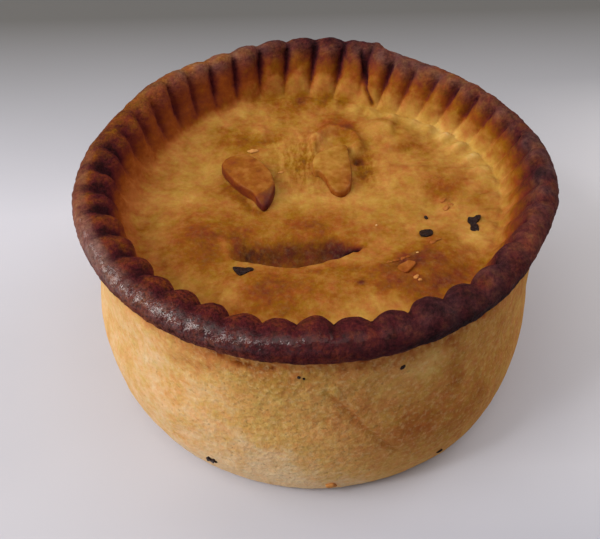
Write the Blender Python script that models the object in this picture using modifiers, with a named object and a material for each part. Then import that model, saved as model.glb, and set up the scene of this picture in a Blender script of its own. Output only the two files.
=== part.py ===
"""A raised rabbit pie, 110 mm across its crimped rim and 58 mm high.

The crust is one solid: a bellied case, a thick rim pinched into 44 crimps, and a sunken lid
that has folded into a pocket at the front. Two pastry leaves lie on the lid. A few dried herb
flakes and a chip of pastry are stuck to the crust.

Sizes are in millimetres, and MM turns them into metres. The pie stands on z = 0 with its
middle on the z axis and its front towards -Y. An azimuth is in degrees from the front,
counter-clockwise as seen from above, so the right side is at 90.
"""

import math

import bmesh
import bpy
import numpy as np
from mathutils import Matrix, Vector

MM = 0.001

# The case and its rim
HEIGHT = 58.3
RIM_RADIUS = 55.0
CREST_RADIUS = 51.2
SHOULDER = (48.5, 56.6)
FOOT = (44.0, 46.0)
BEAD_HEIGHT = 54.7
NECK = (52.4, 50.2)
WALL = ((51.5, 48.2), (52.1, 43.8), (52.9, 32.8), (53.8, 21.9), (53.0, 10.9), (51.4, 3.8))
BASE_RADIUS = 48.0
BASE_ROUNDING = 3.0
AXIS_LEAN = (-0.011, 0.003)
LEAN_PIVOT = 50.0

# The crimps: their number, their uneven spacing round the rim, and their depth
CRIMPS = 44
CRIMP_START = -22.2
CRIMP_DRIFT = ((1, -0.43, -0.51), (2, -0.17, 0.12), (3, 0.14, 0.12))
CRIMP_DEPTH = 2.3
CRIMP_ROUNDNESS = 2.4
CRIMP_LEAN = 2.0
SHALLOW_CRIMPS = ((85.0, 40.0, -0.35), (350.0, 60.0, 0.12), (142.0, 7.0, -0.3))
# Where the crimps fade sooner over the crest, or, below zero, run on over it as humps
CREST_FADES = ((185.0, 34.0, -0.4), (283.0, 40.0, 1.1), (90.0, 35.0, 0.7))

# Where the rim is pushed out or in: azimuth, half width in degrees, depth
RIM_DENTS = ((182.0, 24.0, 0.9), (147.0, 8.0, -1.3), (120.0, 12.0, -0.8), (246.0, 14.0, -1.4))
CREST_WAVES = ((2, 0.35, 20.0), (5, 0.25, 70.0), (11, 0.2, 130.0))
FOOT_SHIFTS = ((152.0, 18.0, -2.3), (105.0, 22.0, 2.6), (195.0, 14.0, 1.0), (255.0, 20.0, -1.0))
WALL_WAVES = ((2, 0.45, 35.0), (3, 0.35, 150.0), (5, 0.22, 260.0))

# The lid: swellings and hollows as x, y, long radius, short radius, turn in degrees, height
LID_SAG = 1.0
SWELLS = (
    (-27.0, -8.0, 9.0, 8.0, 0.0, 1.3),
    (-4.0, -29.0, 22.0, 6.5, 0.0, 1.6),
    (25.0, -22.0, 13.0, 8.0, 35.0, 1.7),
    (20.5, 29.5, 6.5, 5.0, 20.0, 2.0),
    (26.0, 25.0, 9.0, 2.4, 36.0, 1.0),
    (27.0, 10.0, 14.0, 5.0, -10.0, 0.8),
    (-28.0, 14.0, 6.0, 9.0, 20.0, -1.2),
    (14.0, 15.0, 3.5, 4.5, 0.0, -1.0),
    (31.0, -1.0, 5.0, 8.0, 0.0, -0.9),
)

# The ridge of pastry that curls round the right leaf: centre, radii, height, half width
CURL_CENTRE = (6.9, 21.6)
CURL_RADII = (6.0, 8.0)
CURL_HEIGHT = 1.5
CURL_WIDTH = 1.3
CURL_OPENING = (200.0, 340.0)

# The pocket: the bowed line of its lip, and from left to right along the lip its x, its depth
# and how far its back slope runs
LIP_MIDDLE = (-4.0, -21.3)
LIP_TILT = 0.09
LIP_BOW = 0.022
LIP_STEEPNESS = 0.5
POCKET = (
    (-18.8, 0.0, 4.0),
    (-17.2, 3.0, 7.5),
    (-13.0, 5.6, 11.5),
    (-4.0, 6.6, 14.0),
    (3.5, 6.2, 12.5),
    (8.0, 4.8, 5.5),
    (10.9, 0.0, 2.5),
)

# The pastry leaves: outlines in the plan, thickness, gap to the lid
LEFT_LEAF = (
    (-21.9, 12.4), (-21.5, 15.0), (-19.2, 16.7), (-15.7, 16.5), (-12.6, 14.4), (-9.9, 10.4),
    (-8.9, 5.6), (-9.8, 1.4), (-11.4, -1.4), (-12.9, -0.2), (-14.4, 2.4), (-18.2, 5.9),
)
RIGHT_LEAF = (
    (0.5, 13.3), (1.7, 16.3), (4.2, 18.5), (7.1, 19.2), (9.4, 16.6), (10.2, 11.0),
    (9.8, 5.6), (8.5, 3.0), (6.7, 2.4), (5.0, 3.9), (3.6, 7.8), (2.4, 10.0), (1.0, 10.8),
)
LEAF_THICKNESS = 2.7
LEAF_CROWN = 0.5
LEAF_GAP = 0.35
LEAF_SIDES = 33
LEAF_RINGS = 4

# Small things stuck to the crust: x, y, length, width, turn, corners
LID_FLAKES = (
    (-16.3, -21.2, 6.2, 4.4, -20.0, 3),
    (26.4, -10.4, 3.5, 2.9, 10.0, 6),
    (37.9, -7.8, 3.0, 4.6, 20.0, 5),
    (20.4, -21.0, 4.4, 3.0, -15.0, 5),
)
# and on the wall: azimuth, height, length, width, corners
WALL_FLAKES = ((332.3, 9.4, 2.6, 2.2, 5), (31.6, 9.3, 1.9, 1.1, 5))
FLAKE_STAND = 0.4
FLAKE_THICKNESS = 2.4

# Fineness of the turned body, and the share of its triangles that is kept
TURN_STEPS = 352
LID_RINGS = 58
POCKET_PARTS = 6
BASE_RINGS = 3
SMOOTH_PARTS = 3
KEPT_SHARE = 0.118

CRUST_COLOUR = (0.44, 0.22, 0.07)
LEFT_LEAF_COLOUR = (0.42, 0.16, 0.04)
RIGHT_LEAF_COLOUR = (0.52, 0.26, 0.08)


def clear_scene():
    for thing in list(bpy.data.objects):
        bpy.data.objects.remove(thing)


def new_collection(name):
    collection = bpy.data.collections.new(name)
    bpy.context.scene.collection.children.link(collection)
    return collection


def pastry(name, colour, roughness):
    material = bpy.data.materials.new(name)
    material.use_nodes = True
    shader = material.node_tree.nodes["Principled BSDF"]
    shader.inputs["Base Color"].default_value = (*colour, 1.0)
    shader.inputs["Roughness"].default_value = roughness
    shader.inputs["Metallic"].default_value = 0.0
    return material


def angle_between(azimuth, middle):
    """The signed difference of two azimuths, from -180 to 180."""
    return (azimuth - middle + 180.0) % 360.0 - 180.0


def bulges(azimuth, places):
    """The sum of smooth bulges given as azimuth, half width and height."""
    total = np.zeros_like(azimuth)
    for middle, half_width, height in places:
        total += height * np.exp(-((angle_between(azimuth, middle) / half_width) ** 2))
    return total


def waves(azimuth, terms):
    """The sum of waves given as number round the rim, height and phase in degrees."""
    total = np.zeros_like(azimuth)
    for number, height, phase in terms:
        total += height * np.sin(np.radians(number * azimuth + phase))
    return total


def crimp_ridges(azimuth):
    """0 in the valley between two crimps and 1 on a crimp's back."""
    turn = np.radians(azimuth)
    count = CRIMPS * azimuth / 360.0 + CRIMP_START
    for number, sine, cosine in CRIMP_DRIFT:
        count += sine * np.sin(number * turn) + cosine * np.cos(number * turn)
    across = np.abs(2.0 * (count % 1.0) - 1.0)
    return 1.0 - across**CRIMP_ROUNDNESS


def crimp_depth(azimuth, radius, weight):
    """The depth of the valleys, which varies round the rim and fades over its crest."""
    fade = 1.0 + bulges(azimuth, CREST_FADES)
    reach = np.where(radius > SHOULDER[0], weight**fade, weight)
    return reach * CRIMP_DEPTH * (1.0 + bulges(azimuth, SHALLOW_CRIMPS))


def smooth_step(value):
    value = np.clip(value, 0.0, 1.0)
    return value * value * (3.0 - 2.0 * value)


def rounded(points, parts):
    """Points along the smooth curve (Catmull-Rom) through the given points."""
    ends = [2 * points[0] - points[1], *points, 2 * points[-1] - points[-2]]
    curve = []
    for before, start, end, after in zip(ends, ends[1:], ends[2:], ends[3:]):
        for step in range(parts):
            t = step / parts
            curve.append(
                0.5
                * (
                    2 * start
                    + (end - before) * t
                    + (2 * before - 5 * start + 4 * end - after) * t**2
                    + (3 * start - before - 3 * end + after) * t**3
                )
            )
    curve.append(points[-1])
    return curve


def swell_height(x, y):
    total = np.zeros_like(x)
    for middle_x, middle_y, long_radius, short_radius, turn, height in SWELLS:
        cosine = math.cos(math.radians(turn))
        sine = math.sin(math.radians(turn))
        along = ((x - middle_x) * cosine + (y - middle_y) * sine) / long_radius
        across = ((y - middle_y) * cosine - (x - middle_x) * sine) / short_radius
        total += height * np.exp(-(along**2) - across**2)
    return total


def curl_height(x, y):
    """The ridge that curls round the head of the right leaf, open towards the front."""
    u = (x - CURL_CENTRE[0]) / CURL_RADII[0]
    v = (y - CURL_CENTRE[1]) / CURL_RADII[1]
    distance = (np.hypot(u, v) - 1.0) * min(CURL_RADII)
    direction = np.degrees(np.arctan2(v, u)) % 360.0
    start, end = CURL_OPENING
    middle = (start + end) / 2.0
    closed = smooth_step((np.abs(angle_between(direction, middle)) - (end - start) / 2.0) / 25.0)
    return CURL_HEIGHT * closed * np.exp(-((distance / CURL_WIDTH) ** 2))


def lip_line(x):
    """The y of the pocket's lip at x."""
    offset = x - LIP_MIDDLE[0]
    return LIP_MIDDLE[1] + LIP_TILT * offset + LIP_BOW * offset**2


def pocket_depth(x, y):
    """How far the lid is folded down behind the lip."""
    along = np.array(rounded([np.array(place) for place in POCKET], POCKET_PARTS))
    depth = np.maximum(np.interp(x, along[:, 0], along[:, 1], left=0.0, right=0.0), 0.0)
    run = np.interp(x, along[:, 0], along[:, 2])
    behind = y - lip_line(x)
    drop = 0.5 + 0.5 * np.tanh((behind - LIP_STEEPNESS) / LIP_STEEPNESS)
    return depth * drop * (1.0 - smooth_step(behind / run))


def lid_relief(x, y):
    """The height of the lid above its level at the foot of the rim."""
    radius = np.hypot(x, y)
    sag = -LID_SAG * (1.0 - smooth_step(radius / FOOT[0]))
    edge = 1.0 - smooth_step((radius - 0.8 * FOOT[0]) / (0.25 * FOOT[0]))
    return sag + edge * (swell_height(x, y) + curl_height(x, y)) - pocket_depth(x, y)


def lid_height(x, y):
    return FOOT[1] + lid_relief(np.asarray(x, float), np.asarray(y, float))


def profile():
    """The pie's half section from the middle of the lid over the rim to the middle of the base,
    as rows of radius, height and crimp weight."""
    lid = [(FOOT[0] * step / LID_RINGS, FOOT[1], 0.0) for step in range(LID_RINGS)]
    rim = (
        (*FOOT, 0.15),
        (45.0, 47.4, 0.45),
        (46.4, 51.6, 0.85),
        (*SHOULDER, 1.0),
        (49.8, 57.9, 0.8),
        (CREST_RADIUS, HEIGHT, 0.58),
        (53.4, 57.7, 0.28),
        (RIM_RADIUS - 0.3, 56.2, 0.1),
        (RIM_RADIUS, BEAD_HEIGHT, 0.0),
        (RIM_RADIUS - 0.6, 52.2, 0.0),
        (*NECK, 0.0),
    )
    wall = [(radius, height, 0.0) for radius, height in WALL]
    corner_radius = BASE_RADIUS + 0.8 * BASE_ROUNDING
    corner = (
        (corner_radius, 0.45 * BASE_ROUNDING, 0.0),
        (BASE_RADIUS + 0.4 * BASE_ROUNDING, 0.1 * BASE_ROUNDING, 0.0),
    )
    outside = [np.array(point) for point in (*rim, *wall, *corner)]
    base = [
        (BASE_RADIUS * (1.0 - step / BASE_RINGS), 0.0, 0.0) for step in range(BASE_RINGS + 1)
    ]
    rows = np.array([*lid, *rounded(outside, SMOOTH_PARTS), *base])
    rows[:, 2] = np.maximum(rows[:, 2], 0.0)
    return rows


def turned_body(rows):
    """The profile as a solid of revolution, made a mesh."""
    outline = bpy.data.meshes.new("outline")
    points = [(radius, 0.0, height) for radius, height, _ in rows]
    outline.from_pydata(points, [(i, i + 1) for i in range(len(points) - 1)], [])
    turned = bpy.data.objects.new("outline", outline)
    bpy.context.scene.collection.objects.link(turned)
    screw = turned.modifiers.new("turn", "SCREW")
    screw.steps = TURN_STEPS
    screw.render_steps = TURN_STEPS
    screw.use_merge_vertices = True
    screw.merge_threshold = 0.0001
    bpy.context.view_layer.update()
    mesh = bpy.data.meshes.new_from_object(turned.evaluated_get(bpy.context.evaluated_depsgraph_get()))
    bpy.data.objects.remove(turned)
    return mesh


def profile_normals(rows):
    """The direction out of the solid at each row of the profile, as radius and height."""
    along = np.gradient(rows[:, :2], axis=0)
    outward = np.stack([-along[:, 1], along[:, 0]], axis=1)
    return outward / np.maximum(np.linalg.norm(outward, axis=1, keepdims=True), 1e-9)


def shape_crust(mesh, rows):
    """Moves the turned body's points into the pie's uneven form."""
    points = np.empty(len(mesh.vertices) * 3)
    mesh.vertices.foreach_get("co", points)
    points = points.reshape(-1, 3)
    radius = np.hypot(points[:, 0], points[:, 1])
    height = points[:, 2].copy()
    azimuth = np.degrees(np.arctan2(points[:, 0], -points[:, 1])) % 360.0
    gaps = (radius[:, None] - rows[None, :, 0]) ** 2 + (height[:, None] - rows[None, :, 1]) ** 2
    row = gaps.argmin(axis=1)
    weight = rows[row, 2]
    normal = profile_normals(rows)[row]
    radius, height = shape_rim(radius, height, azimuth, weight, normal)
    x = radius * np.sin(np.radians(azimuth))
    y = -radius * np.cos(np.radians(azimuth))
    on_lid = row <= LID_RINGS
    height = np.where(on_lid, height + lid_relief(x, y), height)
    x += AXIS_LEAN[0] * (height - LEAN_PIVOT)
    y += AXIS_LEAN[1] * (height - LEAN_PIVOT)
    shaped = np.stack([x, y, height], axis=1) * MM
    mesh.vertices.foreach_set("co", shaped.ravel())
    mesh.update()


def shape_rim(radius, height, azimuth, weight, normal):
    """The crimps, dents and waves of the rim and the wall, by radius and height."""
    above_base = smooth_step(height / 12.0)
    outer = smooth_step((radius - FOOT[0]) / 5.0)
    near_rim = smooth_step((height - 25.0) / 25.0)
    near_foot = np.exp(-(((radius - FOOT[0]) / 4.5) ** 2)) * (height > FOOT[1] - 1.0)
    crimp_at = azimuth + CRIMP_LEAN * (height - SHOULDER[1]) / (SHOULDER[1] - FOOT[1])
    valley = crimp_depth(azimuth, radius, weight) * (1.0 - crimp_ridges(crimp_at))
    crest = outer * smooth_step((height - NECK[1]) / 6.0)
    new_radius = (
        radius
        + outer * near_rim * bulges(azimuth, RIM_DENTS)
        + outer * above_base * (1.0 - near_rim) * waves(azimuth, WALL_WAVES)
        + near_foot * bulges(azimuth, FOOT_SHIFTS)
        - valley * normal[:, 0]
    )
    new_height = height + crest * waves(azimuth, CREST_WAVES) - valley * normal[:, 1]
    return new_radius, new_height


def crust_solid(collection):
    rows = profile()
    mesh = turned_body(rows)
    shape_crust(mesh, rows)
    mesh.name = "crust"
    mesh.materials.append(pastry("baked_crust", CRUST_COLOUR, 0.55))
    crust = bpy.data.objects.new("crust", mesh)
    collection.objects.link(crust)
    thinned = crust.modifiers.new("thin out", "DECIMATE")
    thinned.ratio = KEPT_SHARE
    thinned.use_collapse_triangulate = True
    return crust


def lid_normal(x, y):
    step = 0.8
    slope_x = (lid_height(x + step, y) - lid_height(x - step, y)) / (2 * step)
    slope_y = (lid_height(x, y + step) - lid_height(x, y - step)) / (2 * step)
    return Vector((-float(slope_x), -float(slope_y), 1.0)).normalized()


def wall_radius(height):
    heights = [point[1] for point in WALL][::-1]
    radii = [point[0] for point in WALL][::-1]
    return float(np.interp(height, heights, radii))


def add_flake(collection, place, normal, length, width, turn, corners):
    """A flat flake sunk into the surface, so that FLAKE_STAND of it stands out."""
    bpy.ops.mesh.primitive_cylinder_add(vertices=corners, radius=0.5, depth=1.0)
    flake = bpy.context.active_object
    size = Matrix.Diagonal((length * MM, width * MM, FLAKE_THICKNESS * MM, 1.0))
    lay = normal.to_track_quat("Z", "Y").to_matrix().to_4x4()
    spin = Matrix.Rotation(math.radians(turn), 4, "Z")
    middle = place + normal * (FLAKE_STAND - FLAKE_THICKNESS / 2)
    flake.data.transform(Matrix.Translation(middle * MM) @ lay @ spin @ size)
    for owner in flake.users_collection:
        owner.objects.unlink(flake)
    collection.objects.link(flake)


def add_flakes(collection):
    for x, y, length, width, turn, corners in LID_FLAKES:
        place = Vector((x, y, float(lid_height(x, y))))
        add_flake(collection, place, lid_normal(x, y), length, width, turn, corners)
    for azimuth, height, length, width, corners in WALL_FLAKES:
        turn = math.radians(azimuth)
        outward = Vector((math.sin(turn), -math.cos(turn), 0.0))
        around = np.array([azimuth])
        bulge = float(smooth_step(height / 12.0) * waves(around, WALL_WAVES)[0])
        place = outward * (wall_radius(height) + bulge)
        place += Vector((*AXIS_LEAN, 0.0)) * (height - LEAN_PIVOT)
        place.z = height
        add_flake(collection, place, outward, length, width, 0.0, corners)


def apply_modifiers(thing):
    """Replaces the object's mesh by its evaluated mesh."""
    bpy.context.view_layer.update()
    evaluated = thing.evaluated_get(bpy.context.evaluated_depsgraph_get())
    mesh = bpy.data.meshes.new_from_object(evaluated)
    mesh.name = thing.name
    thing.modifiers.clear()
    thing.data = mesh


def fuse(thing, collection):
    """Joins a collection's objects to a solid and removes them."""
    union = thing.modifiers.new("fuse", "BOOLEAN")
    union.operation = "UNION"
    union.operand_type = "COLLECTION"
    union.collection = collection
    union.solver = "EXACT"
    apply_modifiers(thing)
    for joined in list(collection.objects):
        bpy.data.objects.remove(joined)
    bpy.data.collections.remove(collection)


def closed_curve(points, count):
    """Evenly spaced points on the smooth closed curve through the given points."""
    corners = [np.array(point) for point in points]
    around = rounded([corners[-1], *corners, corners[0], corners[1]], 12)[12:-12]
    path = np.array(around)
    steps = np.linalg.norm(np.diff(path, axis=0), axis=1)
    travelled = np.concatenate([[0.0], np.cumsum(steps)])
    wanted = np.linspace(0.0, travelled[-1], count, endpoint=False)
    return np.stack([np.interp(wanted, travelled, path[:, axis]) for axis in (0, 1)], axis=1)


def leaf_solid(collection, name, outline, material):
    """A thick leaf of pastry: a crowned top and an underside that follows the lid."""
    edge = closed_curve(outline, LEAF_SIDES)
    middle = edge.mean(axis=0)
    shape = bmesh.new()
    sections = []
    for share in [step / LEAF_RINGS for step in range(1, LEAF_RINGS + 1)]:
        ring = middle + (edge - middle) * share
        crown = LEAF_CROWN * (1.0 - share**2) - 0.5 * (share == 1.0)
        tops = lid_height(*ring.T) + LEAF_GAP + LEAF_THICKNESS + crown
        sections.append([shape.verts.new((*place, top)) for place, top in zip(ring, tops)])
    waist = middle + (edge - middle) * 1.03
    mids = lid_height(*waist.T) + LEAF_GAP + 0.5 * LEAF_THICKNESS
    sections.append([shape.verts.new((*place, mid)) for place, mid in zip(waist, mids)])
    for share in [step / LEAF_RINGS for step in range(LEAF_RINGS, 0, -1)]:
        ring = middle + (edge - middle) * share
        lows = lid_height(*ring.T) + LEAF_GAP
        sections.append([shape.verts.new((*place, low)) for place, low in zip(ring, lows)])
    top = shape.verts.new((*middle, float(lid_height(*middle)) + LEAF_GAP + LEAF_THICKNESS + LEAF_CROWN))
    low = shape.verts.new((*middle, float(lid_height(*middle)) + LEAF_GAP))
    join_sections(shape, top, sections, low)
    bmesh.ops.triangulate(shape, faces=shape.faces[:])
    bmesh.ops.recalc_face_normals(shape, faces=shape.faces[:])
    bmesh.ops.scale(shape, vec=(MM, MM, MM), verts=shape.verts[:])
    mesh = bpy.data.meshes.new(name)
    shape.to_mesh(mesh)
    shape.free()
    mesh.materials.append(material)
    leaf = bpy.data.objects.new(name, mesh)
    collection.objects.link(leaf)
    return leaf


def join_sections(shape, first, sections, last):
    """Faces between a start point, a row of closed sections and an end point."""
    count = len(sections[0])
    for i in range(count):
        j = (i + 1) % count
        shape.faces.new((first, sections[0][i], sections[0][j]))
        shape.faces.new((last, sections[-1][j], sections[-1][i]))
        for upper, lower in zip(sections, sections[1:]):
            shape.faces.new((upper[i], lower[i], lower[j], upper[j]))


def shade(thing):
    thing.data.shade_smooth()
    thing.data.set_sharp_from_angle(angle=math.radians(50.0))


def main():
    clear_scene()
    pie = new_collection("rabbit_pie")
    toppings = new_collection("toppings")
    crust = crust_solid(pie)
    apply_modifiers(crust)
    add_flakes(toppings)
    fuse(crust, toppings)
    left_colour = pastry("left_leaf_pastry", LEFT_LEAF_COLOUR, 0.45)
    right_colour = pastry("right_leaf_pastry", RIGHT_LEAF_COLOUR, 0.5)
    left = leaf_solid(pie, "left_leaf", LEFT_LEAF, left_colour)
    right = leaf_solid(pie, "right_leaf", RIGHT_LEAF, right_colour)
    for thing in (crust, left, right):
        shade(thing)


main()
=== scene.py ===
"""The looks of the rabbit pie: its baked crust, its two pastry leaves and what sticks to them.

Sizes are in millimetres, and MM turns them into metres. An azimuth is in degrees from the
front, counter-clockwise as seen from above, so the right side is at 90. Browning runs from 0,
pale dough, to 1, nearly black. Hue runs from -1, olive yellow, to 1, red.
"""

import itertools
import math

import bpy
import numpy as np
from mathutils import Matrix, Vector
from mathutils.bvhtree import BVHTree


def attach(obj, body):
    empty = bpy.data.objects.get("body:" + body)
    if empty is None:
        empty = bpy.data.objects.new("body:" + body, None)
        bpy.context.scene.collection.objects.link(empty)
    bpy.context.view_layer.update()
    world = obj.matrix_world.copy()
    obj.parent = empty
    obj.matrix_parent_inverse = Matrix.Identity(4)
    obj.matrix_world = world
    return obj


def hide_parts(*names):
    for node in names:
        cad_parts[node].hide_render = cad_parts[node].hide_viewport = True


MM = 0.001

# The case and its rim, as in the solids
HEIGHT = 58.3
RIM_RADIUS = 55
CREST_RADIUS = 51.2
SHOULDER = (48.5, 56.6)
FOOT = (44, 46)
BEAD_HEIGHT = 54.7
NECK = (52.4, 50.2)
WALL = ((51.5, 48.2), (52.1, 43.8), (52.9, 32.8), (53.8, 21.9), (53, 10.9), (51.4, 3.8))
BASE_RADIUS = 48
BASE_ROUNDING = 3
# How far the axis leans to the right and back for each millimetre above the pivot
AXIS_LEAN = (-0.011, 0.003)
LEAN_PIVOT = 50

# The rim's section from its foot to its neck: radius, height, crimp weight, zone
RIM = (
    (*FOOT, 0.15, 1),
    (45, 47.4, 0.45, 1.12),
    (46.4, 51.6, 0.85, 1.42),
    (*SHOULDER, 1, 1.8),
    (49.8, 57.9, 0.8, 1.92),
    (CREST_RADIUS, HEIGHT, 0.58, 2),
    (53.4, 57.7, 0.28, 2.22),
    (RIM_RADIUS - 0.3, 56.2, 0.1, 2.42),
    (RIM_RADIUS, BEAD_HEIGHT, 0, 2.55),
    (RIM_RADIUS - 0.6, 52.2, 0, 2.8),
    (*NECK, 0, 3),
)

# The crimps. The drift of their spacing is number round the pie, sine and cosine. A value
# that changes round the pie is the plain value and then places: azimuth, half width, change.
CRIMPS = 44
CRIMP_START = -22.2
CRIMP_DRIFT = ((1, -0.43, -0.51), (2, -0.17, 0.12), (3, 0.14, 0.12))
CRIMP_ROUNDNESS = (2.4, (275, 45, -1.2))
CRIMP_DEPTH = (2.3, (85, 40, -0.805), (350, 60, -0.575), (142, 7, -0.69), (162.3, 2.2, -1.725))
CRIMP_LEAN = 2
CRIMP_UNEVENNESS = 0.4
CRIMP_SEED = 3
SLOPE_FADES = ((275, 45, 1.2),)
CREST_FADES = ((185, 34, -0.4), (280, 45, 3), (90, 35, 0.9), (149, 6, 2.6))
# and where the crimps reach further out before they fade
LONG_CRIMPS = ((276, 36, 3),)
CREST_HOLLOWS = ((290, 34, 1),)
HOLLOW_DEPTH = 0.55
# Where the rim's inner shoulder and its foot reach further in: azimuth, half width, shift
BROAD_SHOULDERS = ((328, 42, -2.4), (272, 38, -1.5), (18, 28, -1.1))
BROAD_FEET = ((272, 45, -1.8),)

# Dents and waves: azimuth, half width, depth; or number round the pie, height, phase
RIM_DENTS = (
    (178, 24, 1.25),
    (92, 18, 1.6),
    (276, 14, 0.4),
    (148.5, 7, -1.1),
    (113, 14, 0.95),
    (246, 14, -0.7),
)
# and dents of the crest alone, two of them where a crimp is torn
CREST_DENTS = ((159.6, 1.5, 0.9), (155.6, 1.6, -0.5), (78, 11, 0.8))
CREST_WAVES = ((2, 0.35, 20), (5, 0.25, 70), (11, 0.2, 130))
FOOT_SHIFTS = ((152, 18, -2.3), (105, 22, 2.6), (195, 14, 1), (255, 20, -1))
WALL_WAVES = ((2, 0.45, 35), (3, 0.35, 150), (5, 0.22, 260))
WALL_BULGES = ((290, 30, 1.7), (34, 15, 1.1), (62, 16, 0.25))
CREST_RISES = ((176, 18, 1.35), (159.6, 1.6, 0.7), (133, 6, -0.2))

# Swellings and hollows of the lid: x, y, long radius, short radius, turn in degrees where
# there is one, height
LID_SAG = 1
SWELLS = (
    (-27, -8, 9, 8, 1.3),
    (-4, -29, 22, 6.5, 1.6),
    (25, -22, 13, 8, 35, 1.7),
    (20.5, 29.5, 6.5, 5, 20, 2),
    (26, 25, 9, 2.4, 36, 1),
    (27, 10, 14, 5, -10, 0.8),
    (-28, 14, 6, 9, 20, -1.2),
    (14, 15, 3.5, 4.5, -1),
    (31, -1, 5, 8, -0.9),
)
CURL_CENTRE = (6.9, 21.6)
CURL_RADII = (6, 8)
CURL_HEIGHT = 1.4
CURL_WIDTH = 1
CURL_OPENING = 270
CURL_OPEN_ANGLES = (70, 95)
LIP_MIDDLE = (-4, -21.3)
LIP_TILT = 0.09
LIP_BOW = 0.022
LIP_STEEPNESS = 0.3
LIP_OVERHANG = 0.8
POCKET = (
    (-19.4, 0, 4),
    (-17, 1.8, 7.5),
    (-13, 4.6, 11.5),
    (-4, 6.6, 14),
    (3.5, 6.2, 12.5),
    (8, 4.8, 5.5),
    (10.9, 0, 2.5),
)
# Smaller bumps, pits and flaky ridges than the solids have
SMALL_SWELLS = (
    (2, 24.6, 1.7, 2.6, 30, 1.1),
    (4.6, 31, 2.6, 1.5, 20, 0.7),
    (11.6, 21.4, 1.5, 2, 10, 1.2),
    (11.9, 17.2, 1.3, 1.1, -1.5),
    (7.6, 34.5, 5, 1.6, 0.6),
    (-12.4, 29.9, 1.6, 2.4, 20, 0.7),
    (-10.3, 26, 3, 1.3, 15, -0.5),
    (23.2, 29.5, 1.2, 5, -10, -0.7),
    (32.2, -0.4, 1, 2.6, 10, 0.6),
    (34.6, -1.8, 0.9, 1.8, -20, 0.5),
    (24.5, 21.3, 5, 1, 8, 0.35),
    (28.6, 12.2, 10, 1.2, -6, 0.4),
    (35.4, 7, 6, 1.3, -8, 0.4),
    (-19.9, -13.6, 1.2, 4, 8, 0.5),
    (8.8, -15.2, 2.6, 0.5, 24, -1.3),
    (24, -19, 3, 0.8, 15, 0.35),
)

# The wall's seams under the rim, its slanting crease and the torn crimp's crack, as azimuth
# and height
SEAM = ((-26, 48.6), (-22, 47.6), (-18.2, 47), (-14.2, 46.6), (-10, 46.4))
SHALLOW_SEAM = ((-36.7, 40.5), (-31, 42.5), (-25.5, 43.4))
CREASE = ((2.6, 40.8), (7.2, 34.6), (12.5, 27), (18.6, 18.4))
RIM_CRACK = ((162.5, 57), (160.9, 54), (159.4, 50), (156.1, 47.2))

# Relief finer than the solids. A layer of grain is height, lump size and seed.
LID_GRAIN = ((0.3, 12, 11), (0.2, 4.5, 12), (0.16, 2.4, 13), (0.07, 1.3, 15))
RIM_GRAIN = ((0.16, 3, 21), (0.12, 1.5, 22))
BEAD_GRAIN = ((0.1, 1.1, 23),)
BEAD_SINK = 0.17
GREASY_GRAIN = ((0.22, 1.2, 25), (0.14, 2.2, 24))
GREASY_SIDE = ((318, 40, 1),)
BEAD_STREAKS = ((350, 25, 0.14),)
WALL_GRAIN = ((0.25, 15, 31), (0.12, 5, 32))
PORE_SIZE = 2.2
PORE_SEED = 33
PORE_HEIGHT = (0.05, (350, 32, 0.09))
# The fillet at the foot of the rim, the ruffles of the lid before it, the wall's seams and
# fold, and the crack of the torn crimp
FILLET_HEIGHT = 0.55
FILLET_WIDTH = 1.9
RUFFLE_RADIUS = 41.7
RUFFLE_WIDTH = 2
RUFFLE_HEIGHT = 1.2
RUFFLE_PLACES = ((112, 42, 1), (180, 25, 0.3))
RUFFLE_GRAIN = ((0.6, 3.6, 14),)
SEAM_DEPTH = 0.45
SHALLOW_SEAM_SHARE = 0.35
FOLD_HEIGHT = 0.4
GULLY_DEPTH = 0.38
CRACK_WIDTH = 0.55
CRACK_DEPTH = 0.9

# Fineness of the crust's grid
AROUND = 744
LID_RINGS = 60
# The lid's rings up to which only one point in so many is kept
COARSE_RINGS = ((7, 8), (15, 4), (30, 2))
# Where the lid's rings may be drawn together at the pocket's lip, and how much
GATHER_REACH = (8, 34)
GATHER_PULL = 0.62
GATHER_WIDTH = 6
# Steps down the rim and the wall, and parts of their smooth curves between two points
RIM_SPACING = 0.52
WALL_SPACING = 1.17
CURVE_PARTS = 12
BASE_RINGS = 2

# Browning and hue of the lid. A patch is x, y, long radius, short radius, turn in degrees
# where there is one, browning and hue; the patches marked below are painted shade, shadow or
# highlight.
LID_BAKE = 0.43
LID_HUE = -0.16
LID_CONTRAST = 1.3
LID_BLOTCHES = ((0.045, 8, 41), (0.045, 3.4, 42))
LID_TINTS = ((0.36, 7, 43), (0.36, 2.8, 44))
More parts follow.
